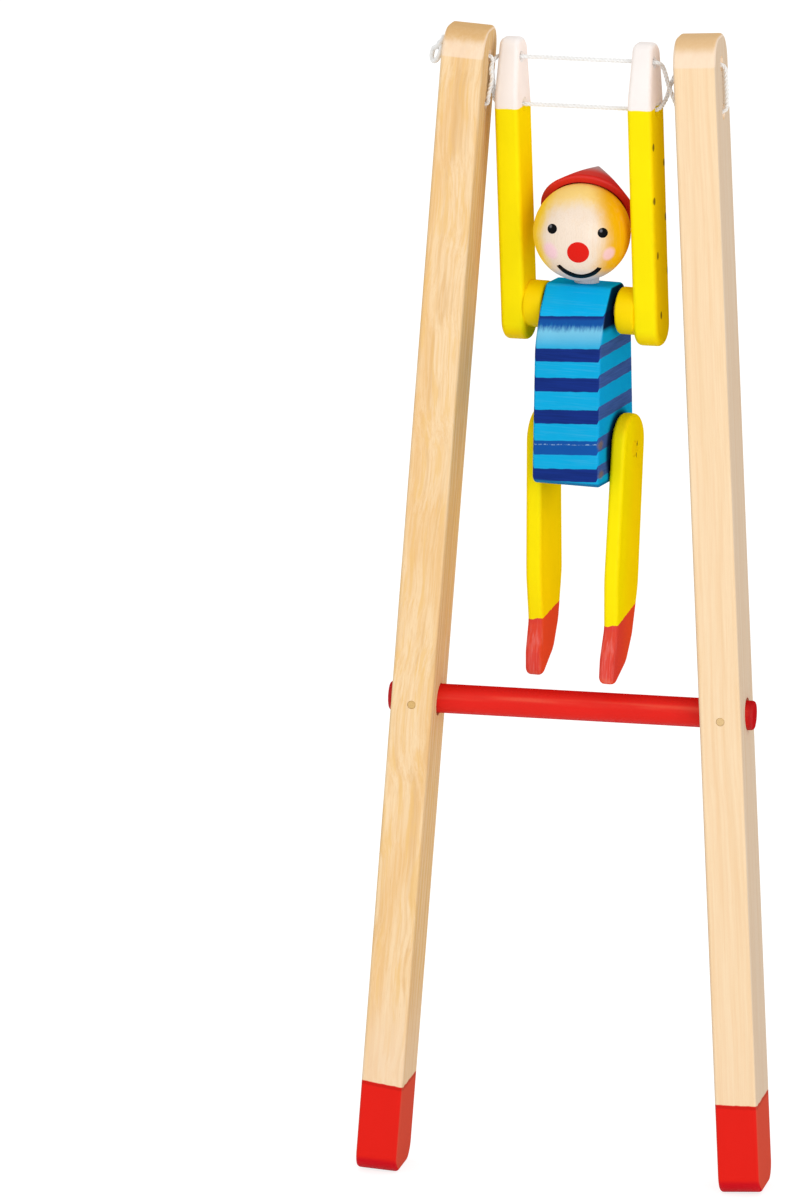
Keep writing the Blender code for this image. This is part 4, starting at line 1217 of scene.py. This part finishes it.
neck = {
    "diameter": 6.4, "edge": 0.3, "length": 11.6, "centre": 6.8, "back": 1.2,
    # the peg's grey is painted shade under the chin
    "pale": (0.74, 0.74, 0.78), "dark": (0.55, 0.55, 0.60),
}
neckPlace = shoulderPlace @ shift(0, neck["back"], neck["centre"])
# grey wood, painted shade under the chin
makePiece("neckPeg", rod(neck["diameter"], neck["length"], neck["edge"]), neckPlace,
          pinWood("shadedNeckWood", neckPlace, neck["pale"], neck["dark"]), "torso", ["neck"])
print("neck made")


hat = {
    "radius": 12.2, "brimRise": 7.6, "brimThickness": 1.1, "apexRise": 23.5, "tipRound": 0.7, "bulge": 0.3,
    "tiltBack": 54.3, "tiltAside": 1.6, "hollow": 12.8, "steps": 96, "coneSteps": 14, "hollowSteps": 16,
    "smooth": 50,
    "tipShares": (0.2, 0.4, 0.6, 0.8, 1.0), "brimShares": (0, 0.14, 0.28, 0.42, 0.57, 0.71, 0.86, 1.0),
    "gloss": 0.25, "washGrain": (0.3, 0.3, 0.3), "uneven": 2.0, "red": (0.70, 0.025, 0.017),
    # the crimson is painted shade on the right side, and the grey at the tip a painted sheen
    "shadedCrimson": (0.54, 0.018, 0.024), "rightShadeFade": (-1.0, 8.0, 0.0, 0.6),
    "leftEnd": (0.40, 0.020, 0.018), "leftFade": (-7.5, -11.5, 0.0, 0.8),
    "coneRed": (0.66, 0.055, 0.045), "coneRedAbove": (1.3, 1.9),
    "tip": (0.47, 0.33, 0.33), "sheenBelow": (11.0, 3.0), "sheenShare": 0.9, "sheenFront": (5.0, 0.0),
}


def hatPaint(place):
    look = hat
    material, local = startFinish("hatRed", place)
    x, y, z = axes(local)
    uneven = sway(noise(local, look["washGrain"], 3), look["uneven"])
    # painted shade darkens the right side
    rightShade = rise(plus(x, uneven), *look["rightShadeFade"])
    leftward = rise(x, *look["leftFade"])
    band = layered(look["red"], (rightShade, look["shadedCrimson"]), (leftward, look["leftEnd"]))
    cone = mixed(rightShade, look["coneRed"], look["shadedCrimson"])
    start, end = (look["brimRise"] + above for above in look["coneRedAbove"])
    tipStart, tipEnd = (look["apexRise"] - below for below in look["sheenBelow"])
    # a painted sheen greys the cone's front near the apex
    wornAndSheen = rise(plus(z, uneven), tipStart, tipEnd, 0.0, look["sheenShare"])
    colour = layered(
        band, (rise(z, start, end), cone),
        (times(wornAndSheen, rise(y, *look["sheenFront"])), look["tip"]),
    )
    coatOfPaint(local, colour, look["gloss"])
    return material


def makeHat():
    apex, rimRise, hollow = hat["apexRise"], hat["brimRise"], hat["hollow"]
    slope = math.atan2(apex - rimRise, hat["radius"])
    lip = hat["brimThickness"] / 2
    profile = [(0, apex)]
    for share in hat["tipShares"]:
        lean = slope * share
        profile.append((hat["tipRound"] * math.sin(lean), apex - hat["tipRound"] * (1 - math.cos(lean))))
    brim = []
    for share in hat["brimShares"]:
        angle = math.pi / 2 - slope - (math.pi - slope) * share
        brim.append((hat["radius"] - lip + lip * math.cos(angle), rimRise + lip + lip * math.sin(angle)))
    tip, foot = profile[-1], brim[0]
    for share in (i / hat["coneSteps"] for i in range(1, hat["coneSteps"])):
        out = hat["bulge"] * math.sin(math.pi * share)
        profile.append((tip[0] + share * (foot[0] - tip[0]) + out * math.sin(slope),
                        tip[1] + share * (foot[1] - tip[1]) + out * math.cos(slope)))
    profile += brim
    rimAngle = math.acos(rimRise / hollow)
    for share in (i / hat["hollowSteps"] for i in range(hat["hollowSteps"])):
        angle = rimAngle * (1 - share)
        profile.append((hollow * math.sin(angle), hollow * math.cos(angle)))
    profile.append((0, hollow))
    place = headPlace @ turn(hat["tiltAside"], "Y") @ turn(-hat["tiltBack"], "X")
    makePiece("hatCone", spun(profile, hat["steps"]), place, hatPaint(place), "torso", ["hat"],
              even=False, smooth=hat["smooth"])


makeHat()
print("hat made")


leg = {
    "innerFace": {-1: 9.7, 1: 8.9}, "thickness": {-1: 4.3, 1: 4.0}, "topRadius": 8.0, "topRise": 9.0,
    "topRound": 0.98, "edge": 1.15, "axle": 4.0, "axleBore": 4.08, "axleShort": 0.04, "axleEdge": 0.25,
    "axleSteps": 48,
    "foot": [
        (-8.1, -34.0, 30.0), (-6.1, -46.3, 4.0), (-8.3, -54.0, 6.0), (-8.2, -60.6, 2.2), (-4.8, -60.6, 2.0),
        (3.0, -55.6, 6.0), (6.8, -48.6, 8.0), (9.5, -36.0, 16.0),
    ],
    "shoeLine": {-1: -45.0, 1: -43.5}, "shoeSlope": {-1: 0.13, 1: 0.35}, "shoeTilt": 0.2, "shoeWobble": 0.7,
    # the shoe's shine is the strength of a painted highlight, and the side span is where painted side shade
    # grows on the right leg
    "shoeHighlight": 0.3, "sideShadeFrom": {-1: None, 1: (-7.0, 5.0)},
    "knocks": {-1: [], 1: [((2.0, 1.9, 1.2), (0.5, 0.32, 0.85)), ((2.0, 1.7, -1.8), (0.5, 0.3, 0.75))]},
}


def makeLegs():
    radius, topRound = leg["topRadius"], leg["topRadius"] * leg["topRound"]
    corners = [(-radius, leg["topRise"], topRound)] + leg["foot"] + [(radius, leg["topRise"], topRound)]
    reach = {}
    for side, label in sides.items():
        thickness, inner = leg["thickness"][side], leg["innerFace"][side]
        reach[side] = inner + thickness - leg["axleShort"]
        place = legPlace[side] @ shift(side * (inner + thickness / 2), 0, 0)
        paint = dippedPaint(f"{label}LegPaint", place, "yellow", "shoe", leg["shoeLine"][side],
                            leg["shoeWobble"], leg["shoeSlope"][side], leg["shoeTilt"],
                            leg["knocks"][side], leg["shoeHighlight"], leg["sideShadeFrom"][side])
        holes = [(drillBit(leg["axleBore"], thickness), place @ alongX)]
        makePiece(f"{label}LegBoard", board(corners, thickness, leg["edge"]), place, paint, f"{label}_leg",
                  [f"{label}_leg"], holes)
    axle = hipPlace @ shift((reach[1] - reach[-1]) / 2, 0, 0) @ alongX
    peg = rod(leg["axle"], reach[1] + reach[-1], leg["axleEdge"], leg["axleSteps"])
    # the peg ends show on the legs' sides, so they take the side yellow with its painted shade
    makePiece("hipPeg", peg, axle, plainPaint("hipPegPaint", axle, paints["shadedYellow"]),
              "torso", ["hip_axle"])


makeLegs()
print("legs made")
